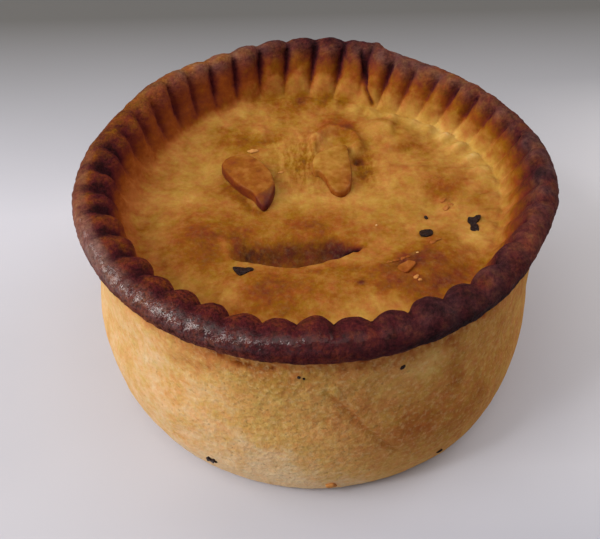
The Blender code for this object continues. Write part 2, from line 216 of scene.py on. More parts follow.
# How far the edges of the patches wander
X_WANDER = ((0.9, 4, 45), (0.4, 1.6, 49))
Y_WANDER = ((0.9, 4, 46), (0.4, 1.6, 50))
CURL_HUE = 0.3
# The pocket darker: partly browning, partly painted shade; darker just behind its lip: painted
# shade under the lip
POCKET_BAKE_AND_SHADE = 0.13
POCKET_HUE = -0.5
LIP_SHADE = 0.24
LID_PATCHES = (
    (-24.6, 15.7, 4, 8.5, 8, -0.03, -0.3),
    (-18, 16, 14, 14, 0.01, -0.35),
    (-23, -20.5, 8, 5.5, -20, 0.14, 0.1),
    (-16, 37.2, 4.5, 4, -0.04, -0.35),
    (-12.4, 29.9, 2, 2.8, 20, -0.07, 0.3),
    (-10.3, 26, 3.2, 1.5, 15, 0.13, -0.35),
    (4.6, 31.2, 5, 3.6, 20, 0.09, 0.7),
    (1.6, 25.2, 1.9, 3.4, 20, -0.1, 0.55),
    (-1.3, 18.9, 5, 7.5, 0.06, -0.35),
    (1.3, -6, 9, 4, 0.12, 0.4),
    (-27.5, -10, 8, 9.5, 0.11, 0.3),
    (9.5, 31.5, 4, 3, -20, 0.08, 0.7),
    (-15, 24.5, 5, 3.5, 20, 0.09, -0.15),
    (-2.1, 43.5, 14, 3, 0.14, 0.1),
    (9.5, 25.5, 3, 3, 0.12, -0.4),
    (30.5, -12.5, 4, 3, 0.06, 0.1),
    (11.5, 21.4, 1.5, 2, 10, -0.11, 0.5),
    # Painted shadow of a small lump, over a shallow pit
    (11.9, 17.1, 1.5, 1.3, 0.24, 0.6),
    (13.6, 12.6, 2.4, 6.5, 0.15, -0.15),
    (19.5, 29.5, 6, 6, 0.04, -0.25),
    (-19.5, 27.5, 5.5, 5, 0.13, -0.25),
    (-8, 33, 6, 4, 0.06, -0.1),
    (14, 37.5, 6, 4, 0.06, -0.2),
    (26, 22, 6, 5, 0.05, -0.2),
    (33, 12, 4, 5, -0.02, -0.15),
    (-6.5, -26.2, 8, 2.2, 0.09, 0),
    (-3, -1.5, 6, 3, 0.05, -0.15),
    (21, -2.5, 6, 4, 0.04, -0.35),
    (15, -10, 7, 3, 0.07, 0),
    (6, 41.5, 9, 2.5, 0.11, 0),
    (-12, -30.5, 5, 3, 0.05, -0.2),
    # Painted shadow of the left leaf on the lid along its lower left edge
    (-17.6, 3.2, 7.5, 1.8, -54, 0.17, 0.2),
    (-8, -6, 14, 5, -5, 0.07, 0),
    (-19.5, 14, 2.5, 9, 10, 0.05, 0),
    # Painted shade in a groove between a pale bump and the torn crimp's foot
    (23.4, 29.5, 1.3, 5, -10, 0.1, -0.5),
    (24.5, 21, 5.5, 1.4, 8, 0.08, 0.3),
    (28.6, 12, 11, 1.6, -6, 0.06, 0.2),
    (35.4, 7, 7, 2.2, -8, 0.06, 0.2),
    (40.5, 0.5, 3, 4, 0.08, 0.1),
    (10.5, 30, 2.5, 2.2, 0.14, -0.1),
    (14.5, 23.5, 3, 3, 0.06, -0.1),
    (-2.3, 13.6, 3, 3, 0.06, 0),
    (15.4, -0.6, 11, 6, -0.01, -0.3),
    (32.6, -1.1, 2.6, 3.6, -0.03, 0.1),
    (-15.7, -14.8, 2.6, 3.4, 0.04, -0.45),
    (-5, -12.5, 11, 3.5, 0.07, 0.25),
    (-12.3, -10.9, 2, 2.6, -0.05, -0.4),
    (-5, -15, 9, 4, 0.13, 0.15),
    # Painted highlight on the ridge at the pocket's left end
    (-20, -13.6, 1.3, 4, 8, -0.12, -0.1),
    (-8.1, -30, 10, 4.5, 0.14, 0.4),
    (4, -26, 9, 4, 10, 0.04, 0.1),
    (-1, -22.6, 14, 1.6, 5, 0.11, 0.1),
    (32, 4.2, 5, 2.8, 0.17, 0.15),
    (-17.5, -11.5, 5.5, 5.5, 0.13, 0.1),
    (-23, 4.5, 3.2, 5.5, 20, 0.12, 0.05),
    (19.5, -21.3, 8.5, 3.2, 20, 0.15, 0.1),
    (6.1, -12.8, 3.6, 2.6, 0.18, 0.25),
    (-25.4, -25.3, 7, 4.5, -20, -0.02, -0.35),
    (9.8, -21.4, 4.5, 4, 0.04, 0.25),
    (26.4, -19.8, 11, 8, 25, 0.17, 0.3),
    (27.5, -29, 7, 3.2, 32, 0.16, 0.4),
    (13.5, -29, 9, 3, 8, 0.14, 0.25),
    (37, -14, 4.5, 4.5, -0.12, -0.25),
    (7.6, -15.6, 4.2, 0.9, 24, 0.3, 0.4),
    (10.1, -27.6, 1.3, 1.1, 0.22, -0.5),
    (12.2, -29.6, 2.2, 1.4, -0.06, -0.4),
    (-7.5, -35, 9, 3, 0.1, 0),
    (18.5, -29, 4, 3, 0.05, 0.1),
    (27, -17, 4, 3, -0.06, 0),
    (0, 38.5, 9, 2.5, 0.08, 0.3),
    (-10, 4, 22, 3, 5, -0.05, -0.15),
)
# Dried juice on the lid, with its strength in place of browning and hue
JUICE_PATCHES = (
    (-2.5, 18, 8, 11, 10, 1),
    (14.5, 13, 3, 7, 0.7),
    (-14, -14, 5, 4, 0.5),
)
# Browning and hue at the foot of the rim: azimuth, half width, amount
FOOT_BAKE = (
    (265, 40, 0.05),
    (320, 30, 0.12),
    (35, 25, 0.1),
    (82, 20, 0.08),
    (128, 32, -0.15),
    (185, 22, 0.02),
)
FOOT_HUE = ((265, 50, 0.55), (85, 22, 0.3), (132, 34, -0.8))
# Browning and hue of the rim's crest and slope, and how fast the slope browns upwards
CREST_BAKE = (0.76, (15, 46, 0.12), (32, 14, 0.05), (66, 13, -0.01), (214, 28, -0.14),
              (178, 16, 0.18), (150, 14, -0.02), (132, 14, -0.04), (88, 24, 0.07))
CREST_HUE = (0.15, (350, 50, 0.7), (250, 30, -0.3), (200, 25, -0.2), (165, 40, 0.25),
             (66, 22, 0.4))
SLOPE_BAKE = 0.36
SLOPE_BAKES = ((224, 30, 0.26), (182, 18, -0.14), (262, 36, -0.06), (94, 30, -0.08),
               (143, 22, -0.13))
MIDDLE_BAKES = ((200, 12, 0.06), (218, 18, 0.06), (182, 10, -0.05))
SLOPE_HUE = (0.25, (265, 35, 0.9), (90, 30, -0.3), (222, 28, 1.4), (182, 12, -0.4))
# Darker valleys part way up the slope: partly browning, partly painted shade
VALLEY_BROWNING_AND_SHADE = ((215, 30, 0.1), (175, 12, 0.08))
BROWNING_SPEED = (1.7, (80, 32, 0.5), (262, 40, -0.2), (165, 40, -0.25), (143, 20, 1.2))
RIM_BLOTCHES = ((0.6, 5, 54), (0.6, 2.2, 55))
RIM_TINTS = ((0.5, 2.6, 56),)
# Painted shade in the crest's hollows
HOLLOW_SHADE = 0.3
# Painted shade in the torn crimp's crack
CRACK_SHADE = 0.35
# Crimp backs lighter and valleys darker up the slope: partly paler dough, partly painted light and
# shade
RIDGE_PALENESS_AND_LIGHT = (0.4, (165, 60, 1))
# Painted shade in the creases of the valleys between crimps
CREASE_SHADE = (0.15, (228, 26, -0.14), (190, 18, 0.04), (143, 28, 0.08))
# The cream-coloured foot of the rim at the back right
CREAM_RADIUS = 42.5
CREAM_WIDTH = 3.2
CREAM_HUE = -2.2
CREAM_BLOTCHES = ((0.8, 3, 61),)
CREAM_PLACES = ((122, 36, 0.12), (170, 20, 0.08))
# Zones where parts of the rim set in and are full, and where two of them fade and end
DARK_RIM = (1.5, 1.9)
RIM_OUTSIDE = (1.9, 2.15)
RIM_UNDERSIDE = (2.35, 2.75)
RIM_INSIDE = (1.5, 1.7, 1.95, 2.1)
BEAD_TOP = (2.04, 2.15)
GLOSSY_BEAD = (2.03, 2.25, 2.38, 2.56)
# The lower edge of the bead's dark crust, as a zone, and the scorched wall below it
BEAD_EDGE = 2.9
EDGE_WANDER = ((0.05, 3, 52), (0.09, 1.2, 53))
HIGH_EDGES = ((320, 35, 0.07),)
SCORCH_HUE = 1.3
SCORCH_BAKE = (0.22, (0, 24, 0.14), (325, 20, 0.06))
# Browning and hue of the rim's underside, its outer side, its inner side and its bead: painted
# shade under the bead and inside at the left, painted light on the bead's top, browning and a
# painted sheen on the outer side
UNDERSIDE_SHADE = (0.12, (345, 40, -0.22), (72, 14, -0.15))
OUTSIDE_BAKES_AND_SHEEN = ((335, 26, 0.08), (284, 20, -0.08))
OUTSIDE_HUES_AND_SHEEN = ((284, 20, 0.2), (335, 30, 0.3))
INSIDE_SHADES = ((270, 20, 0.11), (350, 16, -0.05))
BEAD_PAINTED_LIGHT = ((300, 14, -0.12), (328, 18, -0.08))
# Gloss of grease, its grain, and a mauve tint: painted sheen on the bead, mauve-grey tone on the
# crest and the wall
GLOSS_PLACES = ((328, 32, 1),)
KERNEL_PLACES = ((330, 32, 1),)
PAINTED_BEAD_SHEEN = ((299, 15, 0.6), (270, 14, 0.25), (332, 14, 0.3))
CREST_BLOOM = ((155, 26, 0.4), (206, 24, 0.45), (92, 34, 0.5), (34, 20, 0.4))
BLOOM_BLOTCHES = ((0.7, 3.5, 62),)
WALL_BLOOM = ((302, 22, 0.06),)
# Browning and hue of the wall: azimuth, height, half width in degrees, half height, amounts; the
# patches marked below hold painted light
WALL_BLOTCHES = ((0.036, 8, 57), (0.03, 3.2, 58))
WALL_TINTS = ((0.27, 9, 59), (0.225, 3.5, 60))
WALL_WANDER = ((1.2, 5, 48),)
UNDER_RIM_BAKE = 0.04
UNDER_RIM_BLOTCHES = ((0.08, 6, 51),)
SEAM_BAKE = 0.4
# Painted shade in the gully beside the wall's fold
GULLY_SHADE = 0.14
WALL_GRAININESS = (0.35, (355, 40, 0.65))
WALL_BAKE = (0.105, (42, 48, 0.28), (100, 30, 0.12), (180, 60, 0.12))
WALL_PATCHES = (
    (349, 33, 11, 11, 0.05, -0.5),
    (348, 42, 9, 3, 0.02, -0.5),
    (22.5, 24.8, 8, 7, 0.13, 0.4),
    (10.6, 17.9, 6, 5, 0.06, 0.3),
    (33.5, 38, 2.6, 8, 0.14, 0.1),
    (2.6, 42, 7, 4, -0.07, -0.5),
    (322.2, 28.5, 6, 4, 0.02, 0.5),
    (318, 26, 14, 16, -0.03, 0),
    (338, 47.2, 10, 2.6, 0.13, 0.6),
    (312, 48, 16, 2.6, 0.21, 0.6),
    (328, 43, 9, 3.5, 0.1, 0.2),
    (316, 35.5, 6, 8, -0.05, 0),
    (38, 34.5, 2, 5, -0.06, -0.3),
    (40, 22, 6, 8, 0.05, 0.1),
    (353, 9, 14, 4, -0.05, -0.2),
    # These two patches: lighter low on the front, partly paler dough, partly painted light against
    # the shade near the floor
    (350, 3, 60, 6, -0.18, 0.1),
    (348, 14, 26, 9, -0.06, 0.1),
    (353, 44, 18, 5, 0.12, 0.4),
    # Painted warm light on the front of the wall
    (0, 20, 36, 22, -0.065, 0.3),
    (308, 25, 18, 22, 0.025, -0.15),
    (335, 30, 10, 12, 0, 0.2),
    (312, 34, 10, 12, 0.04, 0),
    (8, 33, 12, 10, 0.04, 0.2),
    (33, 28, 12, 10, 0.05, 0.1),
    (25, 42, 10, 6, -0.17, 0),
    (205, 30, 16, 8, 0.1, 0.3),
    (120, 22, 12, 8, -0.06, -0.3),
    (250, 38, 14, 6, 0.08, 0.2),
)

# The leaves' outlines in the plan
LEFT_LEAF = (
    (-21.9, 12.4), (-21.5, 15), (-19.2, 16.7), (-15.7, 16.5), (-12.6, 14.4), (-9.9, 10.4),
    (-8.9, 5.6), (-9.8, 1.4), (-11.4, -1.4), (-12.9, -0.2), (-14.4, 2.4), (-18.2, 5.9),
)
RIGHT_LEAF = (
    (0.5, 13.3), (1.5, 16.6), (3.8, 18.6), (7, 20), (9.3, 20.2), (9.8, 17.2), (10.2, 11),
    (9.8, 5.6), (8.5, 3), (6.7, 2.4), (5, 3.9), (3.6, 7.8), (2.4, 10), (1, 10.8),
)
LEAF_SIDES = 150
LEAF_RINGS = 26
# How much a leaf rises at its middle, stands off the lid and reaches down into it
LEAF_CROWN = 0.35
LEAF_GAP = 0.35
LEAF_SINK = 0.6
# The hue of a leaf's sides, and spots on the leaves, given like the patches of the lid
SIDE_BLUSH = 0.8
LEFT_SPOTS = (
    (-12, 9, 4, 2.5, -50, -0.04, 0.1),
    (-20.5, 13.5, 2, 3, 0.06, 0.3),
    (-11.4, -0.4, 2.6, 3, 0, 0.5),
)
RIGHT_SPOTS = (
    # Painted highlight along the right leaf's left edge
    (1.2, 14.5, 1, 3.2, -5, -0.12, -0.15),
    (4.5, 19, 3, 1, 25, -0.06, -0.1),
    (7.6, 6.5, 2.6, 4.5, -0.01, 0.55),
    (4.6, 15, 3.4, 4, -0.02, -0.2),
    (9.6, 8, 0.9, 5, 0.06, 0.4),
)
# Each leaf: its outline and spots, the thickness that shows, how far back it is set to lie as
# it looks, its fold (a point on it, the direction of the side that drops and its slope), its
# seed, the browning of its top and its sides, the darkening past its fold, partly browning
# and partly painted shade, and its hue
LEAVES = {
    "left_leaf": (LEFT_LEAF, LEFT_SPOTS, 2.6, 0.25, ((-12.4, 1.9), (0.69, -0.72), 0.42), 60,
                  (0.585, 0.68, 0.12), 0.6),
    "right_leaf": (RIGHT_LEAF, RIGHT_SPOTS, 1.7, 1, ((4.2, 9), (0.3, -0.95), 0.04), 70,
                   (0.53, 0.55, 0.03), 0.3),
}

# A plate's section: how far out it is flat, and then over its edge to below as share of the
# way out and level
PLATE_FLAT = 0.88
PLATE_EDGE = ((0.92, 0.995), (0.955, 0.965), (0.982, 0.9), (1.002, 0.8), (1.012, 0.66))
PLATE_SIDE = ((1.018, 0.5), (1.018, 0.3), (1.01, 0.1), (0.97, 0), (0.6, 0), (0.25, 0))

# Dried herb flakes: on the lid as outlines in the plan, on the wall as azimuth, height and
# outline
HERB_OUTLINES = (
    ((-18.2, -20.7), (-15.9, -21), (-13.5, -21.9), (-14.4, -22.7), (-16.4, -23.9), (-17.5, -22.6)),
    ((24.7, -10.9), (25.4, -10.1), (26.6, -9.8), (27.7, -10.3), (27.8, -11.4), (27.3, -12.4),
     (26.2, -12.8), (25, -12.5)),
    ((36.8, -6.3), (38, -6.5), (38.8, -5.9), (39.7, -6.1), (39, -7.6), (38.2, -8.5),
     (38.6, -9.3), (38.5, -11), (37.6, -11.2), (36.6, -10.5), (36.9, -8.7), (36.4, -7.6)),
    ((26.5, -5), (27.1, -4.8), (27.4, -5.4), (26.9, -5.8)),
)
WALL_HERBS = (
    (332.3, 9.2, ((-1.4, 0), (-0.8, 0.6), (-0.6, 1.4), (0.2, 0.9), (1, 1.3), (1, 0.4),
                  (1.5, -0.2), (0.7, -0.5), (0.4, -1.3), (-0.3, -0.7), (-1, -0.9))),
    (31.6, 9.3, ((-0.7, -0.4), (-0.2, 0), (0.5, 0.5), (0.7, 0.2), (0.1, -0.4), (-0.5, -0.6))),
    (355.8, 45.4, ((-0.4, 0.1), (0, 0.3), (0.3, 0), (0, -0.2))),
    (356.9, 45, ((-0.3, 0.1), (0.1, 0.2), (0.2, -0.1), (-0.1, -0.2))),
    (19.4, 44.6, ((-0.6, -0.3), (-0.2, 0.3), (0.5, 0.4), (0.5, -0.1), (0, -0.3))),
)
PLATE_SIDES = 40
PLATE_RINGS = 5
# How much of its thickness a small plate sinks into the crust
PLATE_SINK = 0.35
LID_HERB_THICKNESS = 0.55
WALL_HERB_THICKNESS = 0.6
HERB_SEED = 80
WALL_HERB_SEED = 90
# A chip of pastry on the lid
CHIP_THICKNESS = 0.7
CHIP_BAKE = 0.58
CHIP_SEED = 150
CHIP_OUTLINE = (
    (18.5, -22.9), (19.7, -22), (21.3, -21.7), (22.6, -22.5), (21.8, -24.1), (20.3, -25.2),
    (19, -24.3),
)
# Crumbs on the lid: x, y, length, width, height, turn, browning
LID_CRUMBS = (
    (16.9, -20.7, 1.5, 0.9, 0.3, 10, 0.55),
    (18.5, -20.5, 1.7, 0.8, 0.3, -15, 0.58),
    (20, -20.2, 1.3, 0.8, 0.3, 30, 0.54),
    (21.2, -19.8, 1.4, 0.7, 0.3, 0, 0.58),
    (22.3, -26.6, 1.5, 1, 0.4, 40, 0.32),
    (23.1, -27.5, 0.9, 0.7, 0.3, 0, 0.32),
    (27.4, -14.8, 2.6, 1, 0.3, 40, 0.53),
    (28.7, -13.8, 1.6, 0.8, 0.3, 20, 0.52),
    (-14.6, 21.5, 2.4, 1.7, 0.4, 20, 0.24),
    (-7.4, 13.1, 1.5, 0.8, 0.3, 10, 0.32),
    (15.1, -7.3, 0.5, 0.4, 0.2, 0, 0.05),
    (23.3, -18.6, 0.6, 0.4, 0.2, 0, 0.15),
    (31.7, 0.7, 1.8, 1, 0.3, 50, 0.47),
    (33.6, -0.5, 2, 0.9, 0.3, -30, 0.46),
    (32.1, -1.9, 1.6, 1.2, 0.3, 20, 0.47),
)
CRUMB_SEED = 100
CRUMB_SIDES = 14
CRUMB_RINGS = 8
# A crumb on the wall: azimuth, height on the wall, length, width, height, browning
WALL_CRUMB = (3.2, 5.6, 2.5, 2, 0.8, 0.28)
WALL_CRUMB_SEED = 140
# How far from the axis or the base, in metres, the rays start that set the small things on the
# crust
OUTSIDE = 0.08

# Colours of baked pastry: browning, colour where it is yellow, colour where it is red
BAKED_COLOURS = (
    (0, (0.7, 0.55, 0.335), (0.78, 0.5, 0.265)),
    (0.15, (0.61, 0.4, 0.118), (0.655, 0.312, 0.098)),
    (0.3, (0.49, 0.283, 0.06), (0.5, 0.198, 0.055)),
    (0.45, (0.37, 0.189, 0.031), (0.37, 0.117, 0.028)),
    (0.6, (0.238, 0.097, 0.004), (0.24, 0.055, 0.008)),
    (0.75, (0.126, 0.04, 0.003), (0.14, 0.024, 0.012)),
    (0.88, (0.055, 0.014, 0.006), (0.068, 0.009, 0.012)),
    (1, (0.018, 0.005, 0.005), (0.022, 0.004, 0.006)),
)
PALE_FLECKS = (0.8, 0.62, 0.3)
# Dark dots on the wall: partly dark specks, partly painted shade in its pores
DARK_DOTS = (0.16, 0.075, 0.015)
# Darkening between the grease's grains: partly dark pits, partly painted shade in the hollows of
# their bump
KERNEL_GAP_SHADE = (0.012, 0.003, 0.004)
# A mauve tint: painted sheen on the bead, the crust's mauve-grey tone on the crest and the wall
MAUVE_SHEEN_AND_BLOOM = (1.3, 0.92, 1.1)
HERB_COLOURS = ((0.01, 0.005, 0.005), (0.032, 0.014, 0.012))

# The floor: its two colours, and patches of painted shade and light given as colour and as
# ramps in metres, each the axis, where the patch sets in and where it is full
FLOOR_COLOURS = ((0.546, 0.56, 0.638), (0.576, 0.588, 0.67))
FLOOR_PAINTED_SHADE_AND_LIGHT = (
    # Painted shade at the back
    ((0.13, 0.13, 0.13), (("Y", 0.05, 0.17), ("Y", 0.8, 0.4))),
    # Painted shadow at the front right
    ((0.2, 0.21, 0.28), (("Y", -0.045, -0.115), ("X", -0.07, 0.01), ("Y", -0.45, -0.18))),
    # Painted light at the right
    ((0.76, 0.755, 0.8), (("Y", -0.08, 0), ("X", 0.06, 0.13), ("Y", 0.12, 0.05))),
)
# The lamps: place and size in metres, height they are aimed at, power and colour
LAMPS = {
    "window": ((-0.95, -0.25, 0.62), 0.75, 0.03, 8.5, (1, 0.95, 0.9)),
    "pane": ((-0.8, 0.22, 0.62), 0.3, 0.03, 1.2, (0.97, 0.96, 1)),
    "bulb": ((-0.5, -0.36, 0.78), 0.14, 0.03, 1.2, (1, 0.97, 0.95)),
    "far_window": ((0.85, 0.35, 0.6), 0.8, 0.03, 4.3, (1, 0.96, 0.92)),
    "ceiling": ((-0.1, -0.15, 1.1), 1.4, 0, 6, (1, 0.95, 0.86)),
}
ROOM_COLOUR = (0.96, 0.9, 0.86, 1)
ROOM_STRENGTH = 0.24

# The camera, as fitted to the photograph
FOCAL_LENGTH = 55.14
CAMERA_ELEVATION = 45.22
CAMERA_ROLL = 1.3
CAMERA_DISTANCE = 235
CAMERA_AIM = (-3.15, -1.13, 25)


def smooth_step(value):
    value = np.clip(value, 0, 1)
    return value * value * (3 - 2 * value)


def ramp(value, low, high):
    """0 below low, 1 above high and smooth between them."""
    return smooth_step((value - low) / (high - low))


def plateau(value, start, full, fading, end):
    """1 from full to fading, 0 before the start and past the end, and smooth between them."""
    return ramp(value, start, full) * ramp(value, end, fading)


def band(value, middle, width):
    """1 at the middle and 0 well past the width on both sides."""
    return np.exp(-(((value - middle) / width) ** 2))


def mix(first, second, share):
    """The first where the share is 0, the second where it is 1."""
    return first * (1 - share) + second * share


def angle_between(azimuth, middle):
    """The signed difference of two azimuths, from -180 to 180."""
    return (azimuth - middle + 180) % 360 - 180


def bulges(azimuth, places):
    """The sum of smooth bulges given as azimuth, half width and height."""
    total = np.zeros_like(azimuth)
    for middle, half_width, height in places:
        total += height * band(angle_between(azimuth, middle), 0, half_width)
    return total


def varied(azimuth, plain, *places):
    """A value with its bulges, for the tables that give it as the plain value and places."""
    return plain + bulges(azimuth, places)


def waves(azimuth, terms):
    """The sum of waves given as number round the pie, height and phase in degrees."""
    total = np.zeros_like(azimuth)
    for number, height, phase in terms:
        total += height * np.sin(np.radians(number * azimuth + phase))
    return total


def oval(x, y, middle_x, middle_y, long_radius, short_radius, turn=0):
    """1 at the middle of a soft oval and 0 far outside it."""
    cosine = math.cos(math.radians(turn))
    sine = math.sin(math.radians(turn))
    along = ((x - middle_x) * cosine + (y - middle_y) * sine) / long_radius
    across = ((y - middle_y) * cosine - (x - middle_x) * sine) / short_radius
    return np.exp(-(along**2) - across**2)


def ovals(x, y, places):
    """The sum of soft ovals given as middle, radii, turn (0 if left out) and height."""
    return sum(height * oval(x, y, *place) for *place, height in places)


def wall_oval(azimuth, height, middle, level, half_width, half_height):
    """1 at the middle of a soft oval on the wall and 0 far outside it."""
    across = band(angle_between(azimuth, middle), 0, half_width)
    return across * band(height, level, half_height)


def near_path(u, v, path, width):
    """1 on a line of straight stretches through the path's points and 0 far from it."""
    nearest = np.full(u.shape, np.inf)
    for (u0, v0), (u1, v1) in zip(path, path[1:]):
        length = math.hypot(u1 - u0, v1 - v0)
        along = ((u - u0) * (u1 - u0) + (v - v0) * (v1 - v0)) / length**2
        along = np.clip(along, 0, 1)
        away = np.hypot(u - u0 - along * (u1 - u0), v - v0 - along * (v1 - v0))
        nearest = np.minimum(nearest, away)
    return band(nearest, 0, width)


def lumps(points, size, seed):
    """Smooth noise from about -1 to 1 at the points, with lumps of the given size."""
    random = np.random.default_rng(seed)
    table = random.permutation(256)
    slopes = random.normal(size=(256, 3))
    slopes /= np.linalg.norm(slopes, axis=1, keepdims=True)
    place = points / size
    cell = np.floor(place).astype(int)
    within = place - cell
    fade = within**3 * (within * (within * 6 - 15) + 10)
    total = np.zeros(points.shape[:-1])
    for corner in itertools.product((0, 1), repeat=3):
        index = table[(cell[..., 0] + corner[0]) & 255]
        index = table[(index + cell[..., 1] + corner[1]) & 255]
        index = table[(index + cell[..., 2] + corner[2]) & 255]
        rise = ((within - corner) * slopes[index]).sum(axis=-1)
        total += rise * np.where(corner, fade, 1 - fade).prod(axis=-1)
    return total * 1.7


def grain(points, layers):
    """The sum of layers of smooth noise given as height, lump size and seed."""
    return sum(height * lumps(points, size, seed) for height, size, seed in layers)


def points_at(x, y, z):
    """Rows of points from their coordinates, of which some may be the same along the rows."""
    return np.stack(np.broadcast_arrays(x, y, z), axis=2)


def streaks(u, v, seed):
    """Smooth noise over two coordinates that are counted in lumps."""
    return lumps(points_at(u, v, 0), 1, seed)


def patched(bake, hue, patches, shape, x, y):
    """The browning and hue with those of the patches added, each over its soft oval."""
    for *place, more_bake, more_hue in patches:
        share = shape(x, y, *place)
        bake = bake + more_bake * share
        hue = hue + more_hue * share
    return bake, hue


def arc_path(path, radius):
    """A path of azimuth and height as one of distance round the axis and height."""
    return [(math.radians(azimuth) * radius, height) for azimuth, height in path]


def crimp_count(azimuth):
    """A count that passes a whole number in each valley between two crimps."""
    turn = np.radians(azimuth)
    count = CRIMPS * azimuth / 360 + CRIMP_START
    for number, sine, cosine in CRIMP_DRIFT:
        count += sine * np.sin(number * turn) + cosine * np.cos(number * turn)
    return count


def crimp_ridges(azimuth):
    """0 in the valley between two crimps and 1 on a crimp's back."""
    across = np.abs(2 * (crimp_count(azimuth) % 1) - 1)
    return 1 - across ** varied(azimuth, *CRIMP_ROUNDNESS)


def crimp_sizes(azimuth, seed):
    """A random number from -1 to 1 for each crimp, faded out in the valleys."""
    sizes = np.random.default_rng(seed).uniform(-1, 1, CRIMPS)
    index = np.floor(crimp_count(azimuth)).astype(int) % CRIMPS
    return sizes[index] * crimp_ridges(azimuth)


def crimp_depth(azimuth, radius, weight):
    """The depth of the valleys, which varies round the rim and fades over its crest."""
    further = radius - bulges(azimuth, LONG_CRIMPS)
    fade = bulges(azimuth, CREST_FADES) * ramp(further, 46.8, 50)
    fade += bulges(azimuth, SLOPE_FADES) * ramp(radius, 46.5, 45)
    return weight ** (1 + fade) * varied(azimuth, *CRIMP_DEPTH)


def curl_height(x, y):
    """The ridge that curls round the head of the right leaf, open towards the front."""
    u = (x - CURL_CENTRE[0]) / CURL_RADII[0]
    v = (y - CURL_CENTRE[1]) / CURL_RADII[1]
    distance = (np.hypot(u, v) - 1) * min(CURL_RADII)
    direction = np.degrees(np.arctan2(v, u))
    closed = ramp(np.abs(angle_between(direction, CURL_OPENING)), *CURL_OPEN_ANGLES)
    return CURL_HEIGHT * closed * band(distance, 0, CURL_WIDTH)


def rounded(points, parts):
    """Points along the smooth curve (Catmull-Rom) through the given points."""
    points = np.array(points)
    ends = [2 * points[0] - points[1], *points, 2 * points[-1] - points[-2]]
    curve = []
    for before, start, end, after in zip(ends, ends[1:], ends[2:], ends[3:]):
        leave = (end - before) / 2
        arrive = (after - start) / 2
        way = end - start
        for t in np.arange(parts) / parts:
            bend = (3 * way - 2 * leave - arrive) * t**2 + (leave + arrive - 2 * way) * t**3
            curve.append(start + leave * t + bend)
    return np.array([*curve, points[-1]])


def evenly(path, count=None, spacing=None):
    """Points at equal steps along a path, whose first two columns are the place."""
    steps = np.linalg.norm(np.diff(path[:, :2], axis=0), axis=1)
    travelled = np.concatenate([[0], np.cumsum(steps)])
    wanted = np.linspace(0, travelled[-1], count or round(travelled[-1] / spacing))
    return np.stack([np.interp(wanted, travelled, column) for column in path.T], axis=1)


def closed_curve(points, count):
    """Evenly spaced points on the smooth closed curve through the given points."""
    path = rounded([points[-1], *points, *points[:2]], CURVE_PARTS)
    return evenly(path[CURVE_PARTS:-CURVE_PARTS], count + 1)[:-1]


def lip_line(x):
    """The y of the pocket's lip at x."""
    offset = x - LIP_MIDDLE[0]
    return LIP_MIDDLE[1] + LIP_TILT * offset + LIP_BOW * offset**2


def pocket_shape(x):
    """The pocket's depth and the run of its back slope at x."""
    along, depth, run = rounded(POCKET, CURVE_PARTS // 2).T
    depth = np.maximum(np.interp(x, along, depth, left=0, right=0), 0)
    return depth, np.interp(x, along, run)


def pocket_depth(x, y):
    """How far the lid is folded down behind the lip."""
    depth, run = pocket_shape(x)
    behind = y - lip_line(x)
    drop = 0.5 + 0.5 * np.tanh((behind - LIP_STEEPNESS) / LIP_STEEPNESS)
    return depth * drop * ramp(behind, run, 0)


def lid_relief(x, y):
    """The height of the lid above its level at the foot of the rim."""
    radius = np.hypot(x, y) / FOOT[0]
    raised = ovals(x, y, SWELLS) + curl_height(x, y)
    return ramp(radius, 1.05, 0.8) * raised - LID_SAG * ramp(radius, 1, 0) - pocket_depth(x, y)


def lid_height(x, y):
    return FOOT[1] + lid_relief(x, y)


def profile():
    """The pie's half section from the lid over the rim to the base, without the two poles, as
    rows of radius, height, crimp weight and zone. The zone is 0 to 1 on the lid, 1 to 2 up the
    rim's inner slope, 2 to 3 down its outer side, 3 to 4 down the wall and 5 on the base."""
    steps = range(1, LID_RINGS)
    lid = [(FOOT[0] * step / LID_RINGS, FOOT[1], 0, step / LID_RINGS) for step in steps]
    wall = [(radius, height, 0, 4 - height / NECK[1]) for radius, height in (NECK, *WALL)]
    wall.append((BASE_RADIUS + 0.8 * BASE_ROUNDING, 0.45 * BASE_ROUNDING, 0, 4))
    wall.append((BASE_RADIUS + 0.4 * BASE_ROUNDING, 0.1 * BASE_ROUNDING, 0, 4.1))
    rim_rows = evenly(rounded(RIM, CURVE_PARTS), spacing=RIM_SPACING)[:-1]
    wall_rows = evenly(rounded(wall, CURVE_PARTS), spacing=WALL_SPACING)
    steps = range(BASE_RINGS)
    base = [(BASE_RADIUS * (1 - step / BASE_RINGS), 0, 0, 5) for step in steps]
    rows = np.array([*lid, *rim_rows, *wall_rows, *base])
    rows[:, 2] = np.maximum(rows[:, 2], 0)
    return rows


def gather_at_lip(radius, azimuth):
    """Draws the lid's rings together where the pocket's lip crosses them."""
    turn = np.radians(azimuth[0])
    steps = np.linspace(*GATHER_REACH, 261)[:, None]
    ahead = np.abs(-steps * np.cos(turn) - lip_line(steps * np.sin(turn)))
    offset = radius - steps[np.argmin(ahead, axis=0), 0]
    pull = GATHER_PULL * (ahead.min(axis=0) < 0.3) * ramp(np.cos(turn), 0.2, 0.7)
    return radius - pull * offset * band(offset, 0, GATHER_WIDTH)


